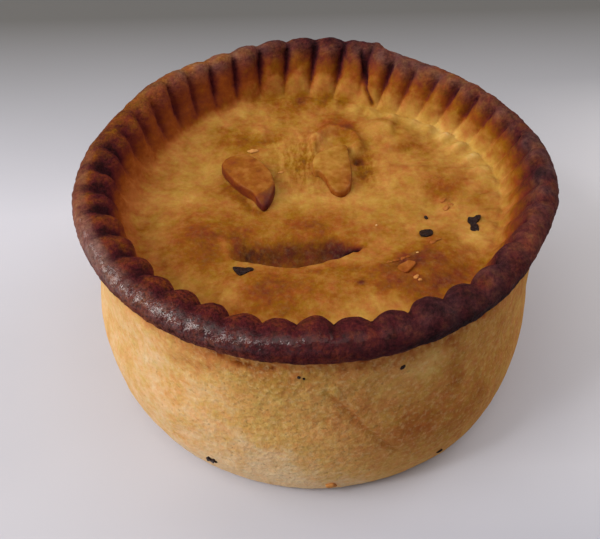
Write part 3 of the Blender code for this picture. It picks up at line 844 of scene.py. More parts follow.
class Crust:
    """The crust as a grid of rows by azimuth, and what its browning is worked out from."""

    def __init__(self):
        rows = profile()
        shape = (len(rows), AROUND)
        self.azimuth = np.broadcast_to(np.arange(AROUND) * 360 / AROUND, shape)
        self.zone = np.broadcast_to(rows[:, 3:4], shape)
        self.on_lid = self.zone < 1
        self.plain_radius = np.broadcast_to(rows[:, 0:1], shape)
        self.plain_height = np.broadcast_to(rows[:, 1:2], shape)
        along = np.gradient(rows[:, :2], axis=0)
        outward = np.stack([-along[:, 1], along[:, 0]], axis=1)
        outward /= np.maximum(np.linalg.norm(outward, axis=1, keepdims=True), 1e-9)
        self.shape(rows[:, 2:3], outward)
        self.roughen()
        self.points[self.plain_height[:, 0] < 0.01, :, 2] = 0
        lift = self.points[..., 2:] - LEAN_PIVOT
        self.points[..., :2] += np.array(AXIS_LEAN) * lift

    def shape(self, weight, outward):
        """The uneven form that the solids have too."""
        azimuth = self.azimuth
        radius = self.plain_radius
        height = self.plain_height
        above_base = ramp(height, 0, 12)
        outer = ramp(radius, FOOT[0], FOOT[0] + 5)
        near_rim = ramp(height, 25, 50)
        shoulder = band(self.zone, 1.78, 0.3)
        near_foot = band(radius, FOOT[0], 4.5) * (height > FOOT[1] - 1)
        crimp_at = azimuth + CRIMP_LEAN * (height - SHOULDER[1]) / (SHOULDER[1] - FOOT[1])
        self.ridge = crimp_ridges(crimp_at)
        self.between = 0.5 + 0.5 * np.cos(2 * np.pi * crimp_count(crimp_at))
        hollow = band(radius, CREST_RADIUS - 0.2, 1.7) * (height > 55)
        self.hollow = hollow * self.between**1.5 * bulges(azimuth, CREST_HOLLOWS)
        self.valley = crimp_depth(azimuth, radius, weight) * (1 - self.ridge)
        self.valley += HOLLOW_DEPTH * self.hollow
        moved = weight * CRIMP_UNEVENNESS * crimp_sizes(crimp_at, CRIMP_SEED) - self.valley
        crest = outer * ramp(height, NECK[1], NECK[1] + 6)
        radius = np.where(self.on_lid, gather_at_lip(radius, azimuth), radius)
        radius = (
            radius
            + outer * near_rim * bulges(azimuth, RIM_DENTS)
            + crest * bulges(azimuth, CREST_DENTS)
            + outer * above_base * (1 - near_rim) * waves(azimuth, WALL_WAVES)
            + above_base * ramp(height, 39, 20) * bulges(azimuth, WALL_BULGES)
            + near_foot * bulges(azimuth, FOOT_SHIFTS + BROAD_FEET)
            + shoulder * bulges(azimuth, BROAD_SHOULDERS)
            + moved * outward[:, 0:1]
        )
        height = height + crest * (waves(azimuth, CREST_WAVES) + bulges(azimuth, CREST_RISES))
        height = height + moved * outward[:, 1:2]
        x = radius * np.sin(np.radians(azimuth))
        y = -radius * np.cos(np.radians(azimuth))
        height = np.where(self.on_lid, height + lid_relief(x, y), height)
        lip = band(y - lip_line(x), -0.5, 0.9)
        overhang = LIP_OVERHANG * lip * ramp(pocket_shape(x)[0], 1, 4) * self.on_lid
        self.x = x
        self.y = y
        self.points = points_at(x, y + overhang, height)

    def normals(self):
        round_about = np.roll(self.points, -1, axis=1) - np.roll(self.points, 1, axis=1)
        normal = np.cross(np.gradient(self.points, axis=0), round_about)
        return normal / np.maximum(np.linalg.norm(normal, axis=2, keepdims=True), 1e-12)

    def roughen(self):
        """The relief that is finer than the solids."""
        points = self.points
        azimuth = self.azimuth
        zone = self.zone
        radius = self.plain_radius
        height = self.plain_height
        lid = self.on_lid * ramp(radius, 1, 6)
        rim = plateau(zone, 1.05, 1.3, 2.9, 3.05)
        bead = plateau(zone, 1.95, 2.15, 2.8, 3)
        wall = ramp(zone, 2.95, 3.1) * ramp(height, 0.2, 3)
        relief = lid * grain(points, LID_GRAIN)
        relief += self.on_lid * ovals(self.x, self.y, SMALL_SWELLS)
        relief += FILLET_HEIGHT * band(radius, FOOT[0], FILLET_WIDTH) * (zone < 1.4)
        ruffle = band(radius, RUFFLE_RADIUS, RUFFLE_WIDTH) * (zone < 1)
        ruffle *= bulges(azimuth, RUFFLE_PLACES)
        relief += ruffle * (RUFFLE_HEIGHT * self.between + grain(points, RUFFLE_GRAIN))
        relief += rim * grain(points, RIM_GRAIN) + bead * (grain(points, BEAD_GRAIN) - BEAD_SINK)
        relief += bead * bulges(azimuth, GREASY_SIDE) * grain(points, GREASY_GRAIN)
        upright = streaks(np.radians(azimuth) * 40, zone * 1.2, 26)
        relief += bead * bulges(azimuth, BEAD_STREAKS) * upright
        pores = varied(azimuth, *PORE_HEIGHT) * lumps(points, PORE_SIZE, PORE_SEED)
        relief += wall * (grain(points, WALL_GRAIN) + pores)
        arc = np.radians(angle_between(azimuth, 0)) * NECK[0]
        wandered = height + 0.5 * lumps(points, 5, 34)
        seam = near_path(arc, wandered, arc_path(SEAM, NECK[0]), 0.5)
        shallow = near_path(arc, height, arc_path(SHALLOW_SEAM, NECK[0]), 0.7)
        self.seam = np.maximum(seam, SHALLOW_SEAM_SHARE * shallow) * wall
        crease = arc_path(CREASE, NECK[0])
        fold = near_path(arc - 0.4, wandered - 0.4, crease, 0.8)
        self.gully = near_path(arc + 0.5, wandered + 0.5, crease, 0.9) * wall
        relief += FOLD_HEIGHT * fold * wall - SEAM_DEPTH * self.seam - GULLY_DEPTH * self.gully
        back_arc = np.radians(azimuth) * SHOULDER[0]
        self.crack = near_path(back_arc, height, arc_path(RIM_CRACK, SHOULDER[0]), CRACK_WIDTH)
        self.crack *= ramp(zone, 2, 1.9) * (1 - lid)
        relief -= CRACK_DEPTH * self.crack
        self.points = points + relief[..., None] * self.normals()


def lid_masks(crust):
    """Browning and hue of the lid, with painted shade in its pocket and under the pocket's lip, and
    a few painted shadows, shade and highlights among its patches.
    """
    points = crust.points
    radius = crust.plain_radius
    x = crust.x + grain(points, X_WANDER)
    y = crust.y + grain(points, Y_WANDER)
    hue = LID_HUE + grain(points, LID_TINTS)
    bake, hue = patched(0, hue, LID_PATCHES, oval, x, y)
    bake = LID_BAKE + grain(points, LID_BLOTCHES) + LID_CONTRAST * bake
    hue += CURL_HUE * curl_height(crust.x, crust.y) / CURL_HEIGHT
    sunk = pocket_depth(crust.x, crust.y)
    lip = band(crust.y, lip_line(crust.x), 3) * ramp(sunk, 0.3, 2.5)
    # Pocket darker, partly browning and partly painted shade, and painted shade just behind the lip
    bake += POCKET_BAKE_AND_SHADE * ramp(sunk, 0, 3) + LIP_SHADE * lip * ramp(crust.x, -17, -8)
    hue += POCKET_HUE * ramp(sunk, 0.5, 3) * ramp(crust.x, 3, -3)
    near_foot = ramp(radius, 37, 43.5)
    runs = streaks(radius / 7, np.radians(crust.azimuth) * 26, 47) * ramp(radius, 30, 40)
    bake += near_foot * bulges(crust.azimuth, FOOT_BAKE) + 0.05 * runs
    hue += near_foot * bulges(crust.azimuth, FOOT_HUE) + 0.2 * runs
    return bake, hue


def rim_masks(crust, foot_bake, foot_hue):
    """Browning and hue of the rim, from its foot on the lid over its crest to its neck, with
    painted shade in its valleys, hollows and crack.
    """
    azimuth = crust.azimuth
    climb = np.clip(crust.zone - 1, 0, 1)
    blotches = grain(crust.points, RIM_BLOTCHES)
    crest = varied(azimuth, *CREST_BAKE)
    speed = varied(azimuth, *BROWNING_SPEED)
    up = 1 - (1 - climb) ** np.maximum(speed, 0.6)
    foot = mix(foot_bake, SLOPE_BAKE, ramp(climb, 0, 0.3))
    foot += bulges(azimuth, SLOPE_BAKES) * ramp(climb, 0, 0.2)
    bake = mix(foot, crest, np.clip(up + 0.12 * blotches * (climb > 0), 0, 1))
    bake += bulges(azimuth, MIDDLE_BAKES) * plateau(climb, 0.1, 0.4, 0.75, 1)
    # Painted shade in the valleys' creases and the crest's hollows, with a redder hue in the
    # creases
    crease = ramp(crust.valley / CRIMP_DEPTH[0], 0.3, 1)
    bake += crease * varied(azimuth, *CREASE_SHADE) + HOLLOW_SHADE * crust.hollow
    # Valleys darker part way up the slope: partly browning, partly painted shade
    fold = crust.between**4 * plateau(climb, 0.02, 0.25, 0.5, 0.9)
    bake += fold * bulges(azimuth, VALLEY_BROWNING_AND_SHADE)
    # Crimp backs lighter and valleys darker: partly paler dough, partly painted light and shade
    ridge = crust.ridge * varied(azimuth, *RIDGE_PALENESS_AND_LIGHT)
    bake -= 0.1 * (ridge - 0.6) * plateau(climb, 0.1, 0.4, 0.75, 0.98)
    # More blotchy browning high on the slope, and painted shade in the torn crimp's crack
    bake += 0.07 * blotches * ramp(climb, 0.5, 0.9) + CRACK_SHADE * crust.crack
    crest_hue = varied(azimuth, *CREST_HUE) + grain(crust.points, RIM_TINTS)
    hue = mix(foot_hue, crest_hue, up) + 0.6 * fold + 0.5 * crease
    hue += varied(azimuth, *SLOPE_HUE) * climb * (1 - climb) * 4
    return bake, hue


def wall_masks(crust):
    """Browning and hue of the wall, with painted shade in its fold's gully and painted light in a
    few patches.
    """
    points = crust.points
    height = crust.plain_height
    bake = varied(crust.azimuth, *WALL_BAKE) + grain(points, WALL_BLOTCHES)
    bake += ramp(height, 44, 50) * (UNDER_RIM_BAKE + grain(points, UNDER_RIM_BLOTCHES))
    # Darker seams, and painted shade in the fold's gully
    bake += SEAM_BAKE * crust.seam + GULLY_SHADE * crust.gully
    wandered = crust.azimuth + grain(points, WALL_WANDER)
    hue = grain(points, WALL_TINTS)
    return patched(bake, hue, WALL_PATCHES, wall_oval, wandered, height)


def crust_masks(crust):
    """Browning, hue and the shares of the crust's other looks at each of its points, with painted
    shade, light and sheen on the rim.
    """
    points = crust.points
    azimuth = crust.azimuth
    zone = crust.zone
    lid_bake, lid_hue = lid_masks(crust)
    foot_row = np.argmax(zone[:, 0] >= 1)
    rim_bake, rim_hue = rim_masks(crust, lid_bake[foot_row], lid_hue[foot_row])
    bake = np.where(crust.on_lid, lid_bake, rim_bake)
    hue = np.where(crust.on_lid, lid_hue, rim_hue)
    cream = band(crust.plain_radius, CREAM_RADIUS, CREAM_WIDTH) * (zone < 1.4)
    cream *= bulges(azimuth, CREAM_PLACES)
    bake -= cream * (0.25 + 0.9 * crust.between + grain(points, CREAM_BLOTCHES))
    hue += CREAM_HUE * cream
    wall_bake, wall_hue = wall_masks(crust)
    edge = BEAD_EDGE + grain(points, EDGE_WANDER) - bulges(azimuth, HIGH_EDGES)
    below = ramp(zone, edge - 0.02, edge + 0.03)
    scorched = plateau(zone, edge - 0.05, edge + 0.05, edge + 0.02, edge + 0.22)
    wall_bake += scorched * varied(azimuth, *SCORCH_BAKE)
    bake = mix(bake, wall_bake, below)
    hue = mix(hue, wall_hue + SCORCH_HUE * scorched, below)
    rim = ramp(zone, *DARK_RIM) * (1 - below)
    # Painted shade under the bead, less at the front
    bake += rim * ramp(zone, *RIM_UNDERSIDE) * varied(azimuth, *UNDERSIDE_SHADE)
    # Browning of the outer side, with a lighter, pinker painted sheen at 284
    bake += rim * ramp(zone, *RIM_OUTSIDE) * bulges(azimuth, OUTSIDE_BAKES_AND_SHEEN)
    hue += rim * ramp(zone, *RIM_OUTSIDE) * bulges(azimuth, OUTSIDE_HUES_AND_SHEEN)
    # Painted shade inside the rim at the left
    bake += plateau(zone, *RIM_INSIDE) * bulges(azimuth, INSIDE_SHADES)
    # Painted light on the bead's top
    bake += rim * ramp(zone, *BEAD_TOP) * bulges(azimuth, BEAD_PAINTED_LIGHT)
    mottled = 0.8 + grain(points, BLOOM_BLOTCHES)
    # Painted mauve sheen on the bead's outer side, and a mauve-grey tone on the crest and the wall
    sheen_and_bloom = bulges(azimuth, PAINTED_BEAD_SHEEN) * ramp(zone, 2.04, 2.13)
    sheen_and_bloom += bulges(azimuth, CREST_BLOOM) * ramp(zone, 1.5, 1.85) * mottled
    sheen_and_bloom = sheen_and_bloom * rim + below * bulges(azimuth, WALL_BLOOM)
    shiny = plateau(zone, *GLOSSY_BEAD) * ramp(crust.valley, 0.7, 0.2)
    grainy_wall = below * varied(azimuth, *WALL_GRAININESS)
    return {
        "bake": np.clip(bake, 0, 1),
        "hue": np.clip(0.5 + 0.5 * hue, 0, 1.25),
        "juice": np.clip(ovals(crust.x, crust.y, JUICE_PATCHES), 0, 1) * crust.on_lid,
        "grain": np.clip(grainy_wall + 0.12 * crust.on_lid, 0, 1),
        "gloss": rim * shiny * bulges(azimuth, GLOSS_PLACES),
        "grainy": rim * bulges(azimuth, KERNEL_PLACES),
        "sheen_and_bloom": np.clip(sheen_and_bloom, 0, 1),
        "burnt": rim,
    }


def ring_index(rows, around, coarse):
    """The number of each grid point, with the first rows thinned out."""
    column = np.broadcast_to(np.arange(around), (rows, around)).copy()
    for ring, step in reversed(coarse):
        column[:ring] = column[:ring] // step * step
    return np.arange(rows)[:, None] * around + column


def closed_grid(points, coarse=()):
    """Vertices and faces of a closed mesh from rows of points, with a pole at each end, and
    the numbers of the grid's points that it uses."""
    rows, around = points.shape[:2]
    used, index = np.unique(ring_index(rows, around, coarse), return_inverse=True)
    index = index.reshape(rows, around)
    poles = np.stack([points[0].mean(axis=0), points[-1].mean(axis=0)])
    vertices = np.concatenate([points.reshape(-1, 3)[used], poles]) * MM
    turned = np.roll(index, -1, axis=1)
    quads = np.stack([index[:-1], index[1:], turned[1:], turned[:-1]], axis=2).reshape(-1, 4)
    faces = []
    for quad in quads.tolist():
        corners = [corner for i, corner in enumerate(quad) if corner != quad[i - 1]]
        if len(corners) > 2:
            faces.append(corners)
    first = len(used)
    faces += [(first, i, j) for i, j in zip(index[0], turned[0]) if i != j]
    faces += [(first + 1, j, i) for i, j in zip(index[-1], turned[-1])]
    return vertices.tolist(), faces, used


def add_object(name, data):
    thing = bpy.data.objects.new(name, data)
    bpy.context.scene.collection.objects.link(thing)
    return thing


def mesh_object(name, vertices, faces, masks):
    """A smooth mesh with a number for each vertex under each mask's name."""
    mesh = bpy.data.meshes.new(name)
    mesh.from_pydata(vertices, [], faces)
    mesh.shade_smooth()
    for label, values in masks.items():
        attribute = mesh.attributes.new(label, "FLOAT", "POINT")
        attribute.data.foreach_set("value", np.array(values, np.float32))
    return add_object(name, mesh)


def grid_object(name, points, masks, coarse=()):
    """A closed mesh from rows of points, with the masks' values at its vertices."""
    vertices, faces, used = closed_grid(points, coarse)
    values = {}
    for label, mask in masks.items():
        values[label] = np.append(mask.ravel()[used], [mask[0].mean(), mask[-1].mean()])
    return mesh_object(name, vertices, faces, values)


class Shader:
    """A short way to write a material's nodes."""

    def __init__(self, name):
        self.material = bpy.data.materials.new(name)
        self.material.use_nodes = True
        self.tree = self.material.node_tree
        self.surface = self.tree.nodes["Principled BSDF"]

    def node(self, kind, **settings):
        node = self.tree.nodes.new(kind)
        for key, value in settings.items():
            setattr(node, key, value)
        return node

    def plug(self, value, socket):
        if isinstance(value, (int, float)):
            socket.default_value = value
        elif isinstance(value, tuple):
            socket.default_value = (*value, 1)
        else:
            self.tree.links.new(value, socket)

    def set(self, **inputs):
        for name, value in inputs.items():
            self.plug(value, self.surface.inputs[name.replace("_", " ")])

    def mask(self, label):
        return self.node("ShaderNodeAttribute", attribute_name=label).outputs["Fac"]

    def place(self, stretch=(1, 1, 1)):
        node = self.node("ShaderNodeMapping")
        node.inputs["Scale"].default_value = stretch
        self.plug(self.node("ShaderNodeTexCoord").outputs["Object"], node.inputs["Vector"])
        return node.outputs["Vector"]

    def texture(self, kind, place, size_mm, **inputs):
        """The outputs of a texture with features of about the given size."""
        node = self.node(kind)
        self.plug(place, node.inputs["Vector"])
        for name, value in {"Scale": 1 / (size_mm * MM), **inputs}.items():
            node.inputs[name].default_value = value
        return node.outputs

    def noise(self, size_mm, detail=3, roughness=0.55, stretch=(1, 1, 1)):
        """Noise from 0 to 1 with lumps of about the given size."""
        inputs = {"Detail": detail, "Roughness": roughness}
        return self.texture("ShaderNodeTexNoise", self.place(stretch), size_mm, **inputs)["Fac"]

    def cells(self, size_mm):
        """Distance to the nearest of scattered points, in cells of the given size."""
        return self.texture("ShaderNodeTexVoronoi", self.place(), size_mm)["Distance"]

    def mottle(self, middle, reach, size_mm, detail=3, roughness=0.55):
        """Noise on both sides of the middle, as far as the reach."""
        noise = self.noise(size_mm, detail, roughness)
        return self.spread(noise, 0.3, 0.7, middle - reach, middle + reach)

    def maths(self, operation, *values):
        """The values worked through from left to right."""
        result = values[0]
        for value in values[1:]:
            node = self.node("ShaderNodeMath", operation=operation)
            self.plug(result, node.inputs[0])
            self.plug(value, node.inputs[1])
            result = node.outputs[0]
        return result

    def total(self, *values):
        return self.maths("ADD", *values)

    def product(self, *values):
        return self.maths("MULTIPLY", *values)

    def spread(self, value, low, high, to_low=0, to_high=1):
        """Moves values from low to high into the range to_low to to_high, and clamps them."""
        node = self.node("ShaderNodeMapRange", clamp=True)
        for socket, number in zip(node.inputs[:5], (value, low, high, to_low, to_high)):
            self.plug(number, socket)
        return node.outputs[0]

    def colours(self, value, stops):
        node = self.node("ShaderNodeValToRGB")
        elements = node.color_ramp.elements
        while len(elements) < len(stops):
            elements.new(0.5)
        for element, (position, colour) in zip(elements, stops):
            element.position = position
            element.color = (*colour, 1)
        self.plug(value, node.inputs["Fac"])
        return node.outputs["Color"]

    def blend(self, share, first, second, mode="MIX"):
        node = self.node("ShaderNodeMix", data_type="RGBA", blend_type=mode)
        for name, value in (("Factor", share), ("A", first), ("B", second)):
            socket = [one for one in node.inputs if one.name == name and one.enabled][0]
            self.plug(value, socket)
        return [one for one in node.outputs if one.enabled][0]

    def bump(self, height, distance_mm, strength, under=None):
        node = self.node("ShaderNodeBump")
        node.inputs["Distance"].default_value = distance_mm * MM
        self.plug(strength, node.inputs["Strength"])
        self.plug(height, node.inputs["Height"])
        if under is not None:
            self.plug(under, node.inputs["Normal"])
        return node.outputs["Normal"]

    def baked(self, level, hue):
        """The colour of baked pastry by browning, and by hue from 0, yellow, to 1, red."""
        yellow = self.colours(level, [(stop, colour) for stop, colour, _ in BAKED_COLOURS])
        red = self.colours(level, [(stop, colour) for stop, _, colour in BAKED_COLOURS])
        return self.blend(hue, yellow, red)

    def soften(self):
        """A little light goes through the pastry's surface."""
        self.surface.inputs["Subsurface Radius"].default_value = (0.0016, 0.0008, 0.0003)
        self.set(Subsurface_Weight=0.05, Subsurface_Scale=1)


def crust_material():
    shader = Shader("baked_crust")
    grained = shader.mask("grain")
    burnt = shader.mask("burnt")
    grainy = shader.mask("grainy")
    gloss = shader.mask("gloss")
    fine = shader.mottle(0, 0.055, 1.3, 5, 0.65)
    broad = shader.mottle(0, 0.045, 4.5)
    wrinkles = shader.noise(1.1, 2, 0.5, stretch=(1, 0.35, 1))
    wrinkles = shader.product(shader.spread(wrinkles, 0.42, 0.6, -0.04, 0.11), shader.mask("juice"))
    specks = shader.product(shader.spread(shader.noise(0.8), 0.35, 0.65, -0.04, 0.04), burnt)
    level = shader.total(shader.mask("bake"), fine, broad, wrinkles, specks)
    tint = shader.mottle(0, 0.5, 2.4, 4, 0.7)
    colour = shader.baked(level, shader.total(shader.mask("hue"), tint))
    flecks = shader.product(shader.spread(shader.noise(1.1, 4, 0.65), 0.5, 0.66), grained, 0.75)
    colour = shader.blend(flecks, colour, shader.blend(0.4, colour, PALE_FLECKS))
    # Dark dots where the pores' bump is lowest: partly dark specks, partly painted shade in the
    # pores
    dots = shader.product(shader.spread(shader.noise(1, 2), 0.38, 0.26), grained, 0.5)
    colour = shader.blend(dots, colour, DARK_DOTS)
    # A mauve tint of the colour's grey: painted sheen on the bead, mauve-grey tone on the crest and
    # the wall
    grey = shader.node("ShaderNodeRGBToBW")
    shader.plug(colour, grey.inputs["Color"])
    mauve_sheen_and_bloom = shader.blend(1, grey.outputs["Val"], MAUVE_SHEEN_AND_BLOOM, "MULTIPLY")
    colour = shader.blend(shader.mask("sheen_and_bloom"), colour, mauve_sheen_and_bloom)
    kernels = shader.noise(0.7, 2, 0.5)
    # Darker where the grains' bump is low: partly dark pits, partly painted shade between the
    # grains
    gap_shade = shader.product(shader.spread(kernels, 0.5, 0.38, 0, 0.6), grainy)
    colour = shader.blend(gap_shade, colour, KERNEL_GAP_SHADE)
    rough = shader.spread(gloss, 0, 1, 0.82, 0.55)
    rough = shader.total(rough, shader.mottle(0, 0.14, 0.9))
    grit = shader.bump(shader.noise(0.5, 4, 0.7), 0.12, 0.6)
    blisters = shader.spread(burnt, 0, 1, 0, 0.9)
    grit = shader.bump(shader.noise(0.8, 3, 0.6), 0.6, blisters, grit)
    bubbles = shader.total(shader.cells(1.5), shader.noise(1, 2))
    pores = shader.bump(bubbles, 0.32, shader.spread(grained, 0, 1, 0.05, 0.6), grit)
    grains = shader.bump(kernels, 0.6, shader.spread(grainy, 0, 1, 0.05, 0.9), pores)
    droplets = shader.bump(kernels, 0.28, shader.spread(grainy, 0, 1, 0.15, 1))
    bare = shader.spread(shader.noise(2.6, 4, 0.7), 0.42, 0.56, 0.85, 0)
    glaze = shader.product(shader.maths("SUBTRACT", 1, shader.product(bare, grainy)), gloss)
    shader.set(Base_Color=colour, Roughness=rough, Normal=grains, Coat_Weight=glaze)
    shader.set(Coat_Roughness=0.1, Coat_Normal=droplets, Coat_IOR=1.6, Specular_IOR_Level=0.05)
    shader.soften()
    return shader.material


def pastry_material(name, hue, rough, uneven):
    """Baked pastry whose browning comes from the mesh."""
    shader = Shader(name)
    fine = shader.mottle(0, 0.05, 1, 5, 0.6)
    broad = shader.mottle(0, 0.05, 3, 2)
    tint = shader.total(shader.mottle(hue - 0.5, 0.2, 2.4), shader.mask("blush"))
    colour = shader.baked(shader.total(shader.mask("bake"), fine, broad), tint)
    rough = shader.mottle(rough, uneven, 1.2)
    grit = shader.bump(shader.noise(0.6, 4, 0.65), 0.1, 0.5)
    shader.set(Base_Color=colour, Roughness=rough, Normal=grit, Specular_IOR_Level=0.1)
    shader.soften()
    return shader.material


def herb_material():
    shader = Shader("dried_herb")
    colour = shader.blend(shader.spread(shader.noise(0.5), 0.35, 0.7), *HERB_COLOURS)
    crinkles = shader.bump(shader.noise(0.8), 0.7, 1)
    rough = shader.mottle(0.415, 0.135, 0.8, 2)
    shader.set(Base_Color=colour, Roughness=rough, Normal=crinkles, Specular_IOR_Level=0.15)
    return shader.material


def plate(edge, rings):
    """Rows of x and of y from a plate's middle over its edge to its underside, with each row's
    share of the way out and its level in the plate's thickness."""
    inner = [(PLATE_FLAT * (step / rings) ** 0.8, 1) for step in range(1, rings + 1)]
    share, level = np.array([*inner, *PLATE_EDGE, *PLATE_SIDE]).T[..., None]
    middle = edge.mean(axis=0)
    x, y = np.moveaxis(middle + (edge - middle) * share[..., None], 2, 0)
    return x, y, share, level


def leaf_points(outline, thickness, shift, fold, seed):
    """Rows of a leaf's points, their levels, and how far each point lies past the fold."""
    edge = closed_curve(outline, LEAF_SIDES) + np.array((0, shift))
    x, y, share, level = plate(edge, LEAF_RINGS)
    (fold_x, fold_y), (drop_x, drop_y), slope = fold
    past_fold = (x - fold_x) * drop_x + (y - fold_y) * drop_y
    crown = LEAF_CROWN * (1 - np.minimum(share, 1) ** 2)
    rise = thickness + crown - slope * np.maximum(past_fold, 0) + LEAF_SINK
    points = points_at(x, y, lid_height(x, y) + LEAF_GAP - LEAF_SINK + rise * level)
    points[..., 2] += grain(points, ((0.13, 3.5, seed), (0.05, 1.3, seed + 1)))
    away = edge - edge.mean(axis=0)
    away /= np.linalg.norm(away, axis=1)[:, None]
    wobble = 0.12 * lumps(points, 2.4, seed + 2) * (level < 0.9)
    points[..., :2] += wobble[..., None] * away
    return points, np.broadcast_to(level, x.shape), past_fold


def make_leaf(node, outline, spots, thickness, shift, fold, seed, shades, hue):
    points, level, past_fold = leaf_points(outline, thickness, shift, fold, seed)
    top_bake, side_bake, fold_bake_and_shade = shades
    side = ramp(level, 0.99, 0.8)
    # Past the fold darker: partly browning, partly painted shade
    bake = mix(top_bake, side_bake, side) + fold_bake_and_shade * ramp(past_fold, -0.4, 0.5)
    bake += grain(points, ((0.06, 3, seed + 5), (0.04, 1.4, seed + 6)))
    x, y, _ = np.moveaxis(points, 2, 0)
    bake, blush = patched(bake, SIDE_BLUSH * side, spots, oval, x, y)
    points[..., :2] += np.array(AXIS_LEAN) * (points[..., 2:] - LEAN_PIVOT)
    masks = {"bake": np.clip(bake, 0, 1), "blush": 0.5 + 0.5 * np.clip(blush, -1, 1)}
    piece = grid_object(node + "_pastry", points, masks)
    piece.data.materials.append(pastry_material(node + "_pastry", hue, 0.44, 0.08))
    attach(piece, "root")
    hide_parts(node)


def make_crust():
    crust = Crust()
    masks = crust_masks(crust)
    piece = grid_object("crust_surface", crust.points, masks, COARSE_RINGS)
    piece.data.materials.append(crust_material())
    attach(piece, "root")
    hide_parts("crust")
    return piece


def surface_tree(thing):
    """What a ray can be cast at, to find the points of a mesh's surface."""
    points = [vertex.co.copy() for vertex in thing.data.vertices]
    return BVHTree.FromPolygons(points, [list(face.vertices) for face in thing.data.polygons])


def seat(tree, start, direction, up):
    """The frame where a ray meets the crust, with z out of its surface."""
    place, normal, _, _ = tree.ray_cast(start, direction)
    side = up.cross(normal).normalized()
    frame = Matrix((side, normal.cross(side), normal)).transposed().to_4x4()
    return Matrix.Translation(place) @ frame


def lid_seat(tree, x, y):
    start = Vector((x * MM, y * MM, OUTSIDE))
    return seat(tree, start, Vector((0, 0, -1)), Vector((0, 1, 0)))


def wall_seat(tree, azimuth, height):
    turn = math.radians(azimuth)
    outward = Vector((math.sin(turn), -math.cos(turn), 0))
    start = outward * OUTSIDE + Vector((0, 0, height * MM))
    return seat(tree, start, -outward, Vector((0, 0, 1)))


def flat_plate(outline, thickness, seed):
    """Rows of points of a thin crinkled plate, in its own plane."""
    x, y, _, level = plate(closed_curve(outline, PLATE_SIDES), PLATE_RINGS)
    points = points_at(x, y, thickness * (level - PLATE_SINK))
    points[..., 2] += grain(points, ((0.22, 1.4, seed), (0.1, 0.6, seed + 1)))
    return points


def lid_plate(tree, outline, thickness, seed):
    """A plate's points and its seat on the lid, from its outline in the plan."""
    middle = np.mean(outline, axis=0)
    return flat_plate(outline - middle, thickness, seed), lid_seat(tree, *middle)


def joined_grids(name, pieces, material):
    """One mesh on the crust of closed grids, each with its matrix and its browning."""
    vertices = []
    faces = []
    bakes = []
    for points, matrix, bake in pieces:
        corners, loops, _ = closed_grid(points)
        faces += [[len(vertices) + corner for corner in loop] for loop in loops]
        vertices += [matrix @ Vector(corner) for corner in corners]
        bakes += [bake] * len(corners)
    piece = mesh_object(name, vertices, faces, {"bake": bakes, "blush": [0.5] * len(bakes)})
    piece.data.materials.append(material)
    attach(piece, "root")


def make_herbs(tree):
    pieces = []
    for number, outline in enumerate(HERB_OUTLINES):
        pieces.append((*lid_plate(tree, outline, LID_HERB_THICKNESS, HERB_SEED + number), 0))
    for number, (azimuth, height, outline) in enumerate(WALL_HERBS):
        points = flat_plate(outline, WALL_HERB_THICKNESS, WALL_HERB_SEED + number)
        pieces.append((points, wall_seat(tree, azimuth, height), 0))
    joined_grids("herb_flakes", pieces, herb_material())


def crumb_points(length, width, height, seed):
    """Rows of points of a small uneven lump."""
    turns = np.linspace(0, 2 * math.pi, CRUMB_SIDES, endpoint=False)
    lean = np.arange(1, CRUMB_RINGS)[:, None] / CRUMB_RINGS * math.pi
    x = 0.5 * length * np.sin(lean) * np.cos(turns)
    y = 0.5 * width * np.sin(lean) * np.sin(turns)
    points = points_at(x, y, height * (0.25 + 0.75 * np.cos(lean)))
    return points * (1 + 0.45 * lumps(points + 7 * seed, 0.7, seed)[..., None])


def make_crumbs(tree):
    pieces = []
    for number, (x, y, *size, turn, bake) in enumerate(LID_CRUMBS):
        spin = Matrix.Rotation(math.radians(turn), 4, "Z")
        points = crumb_points(*size, CRUMB_SEED + number)
        pieces.append((points, lid_seat(tree, x, y) @ spin, bake))
    azimuth, height, *size, bake = WALL_CRUMB
    points = crumb_points(*size, WALL_CRUMB_SEED)
    pieces.append((points, wall_seat(tree, azimuth, height), bake))
    pieces.append((*lid_plate(tree, CHIP_OUTLINE, CHIP_THICKNESS, CHIP_SEED), CHIP_BAKE))
    joined_grids("pastry_crumbs", pieces, pastry_material("pastry_crumbs", 0.8, 0.55, 0.1))


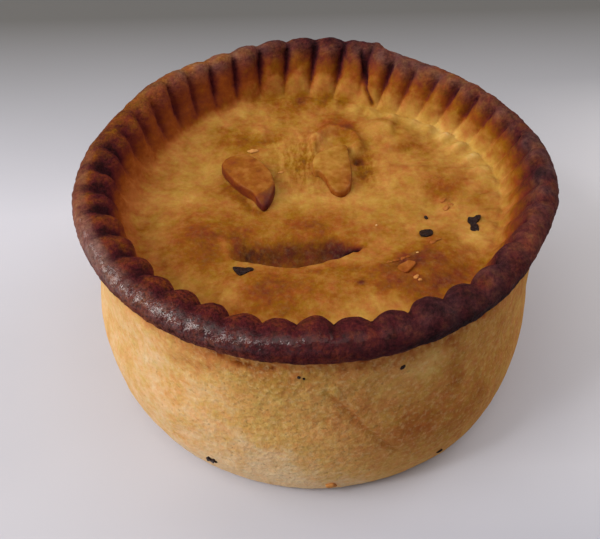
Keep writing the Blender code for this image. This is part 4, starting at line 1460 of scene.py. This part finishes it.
def make_floor():
    bpy.ops.mesh.primitive_plane_add(size=4, location=(0, 0, -0.0001))
    floor = bpy.context.active_object
    floor.name = "floor"
    shader = Shader("pale_floor")
    colour = shader.blend(shader.mottle(0.5, 0.5, 60, 2), *FLOOR_COLOURS)
    away = shader.node("ShaderNodeSeparateXYZ")
    shader.plug(shader.place(), away.inputs["Vector"])
    # Patches of painted shade and light
    for painted_colour, ramps in FLOOR_PAINTED_SHADE_AND_LIGHT:
        shares = [shader.spread(away.outputs[axis], low, high) for axis, low, high in ramps]
        colour = shader.blend(shader.product(*shares), colour, painted_colour)
    shader.set(Base_Color=colour, Roughness=0.5, Specular_IOR_Level=0.3)
    floor.data.materials.append(shader.material)


def add_lamp(name, place, size, aimed_at, power, colour):
    lamp = bpy.data.lights.new(name, "AREA")
    lamp.shape = "DISK"
    lamp.size = size
    lamp.energy = power
    lamp.color = colour
    thing = add_object(name, lamp)
    thing.location = place
    aim = Vector((0, 0, aimed_at)) - Vector(place)
    thing.rotation_euler = aim.to_track_quat("-Z", "Y").to_euler()


def light_scene():
    for name, settings in LAMPS.items():
        add_lamp(name, *settings)
    world = bpy.data.worlds.new("room")
    bpy.context.scene.world = world
    world.use_nodes = True
    background = world.node_tree.nodes["Background"]
    background.inputs["Color"].default_value = ROOM_COLOUR
    background.inputs["Strength"].default_value = ROOM_STRENGTH
    bpy.context.scene.view_settings.view_transform = "Standard"


def add_camera():
    camera = bpy.data.cameras.new("camera")
    camera.sensor_width = 36
    camera.lens = FOCAL_LENGTH
    camera.clip_start = 0.01
    thing = add_object("camera", camera)
    turn = Matrix.Rotation(math.radians(90 - CAMERA_ELEVATION), 4, "X")
    turn @= Matrix.Rotation(math.radians(-CAMERA_ROLL), 4, "Z")
    back = turn.col[2].to_3d()
    place = (Vector(CAMERA_AIM) + back * CAMERA_DISTANCE) * MM
    thing.matrix_world = Matrix.Translation(place) @ turn
    bpy.context.scene.camera = thing


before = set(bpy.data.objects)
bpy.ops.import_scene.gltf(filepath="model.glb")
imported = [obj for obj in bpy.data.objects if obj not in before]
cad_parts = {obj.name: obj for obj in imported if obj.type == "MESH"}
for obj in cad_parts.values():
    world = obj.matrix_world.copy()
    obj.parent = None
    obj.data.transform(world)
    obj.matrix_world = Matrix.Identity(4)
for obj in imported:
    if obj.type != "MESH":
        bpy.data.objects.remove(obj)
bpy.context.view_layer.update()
add_camera()
make_floor()
light_scene()
CRUST_TREE = surface_tree(make_crust())
for leaf, parts in LEAVES.items():
    make_leaf(leaf, *parts)
make_herbs(CRUST_TREE)
make_crumbs(CRUST_TREE)
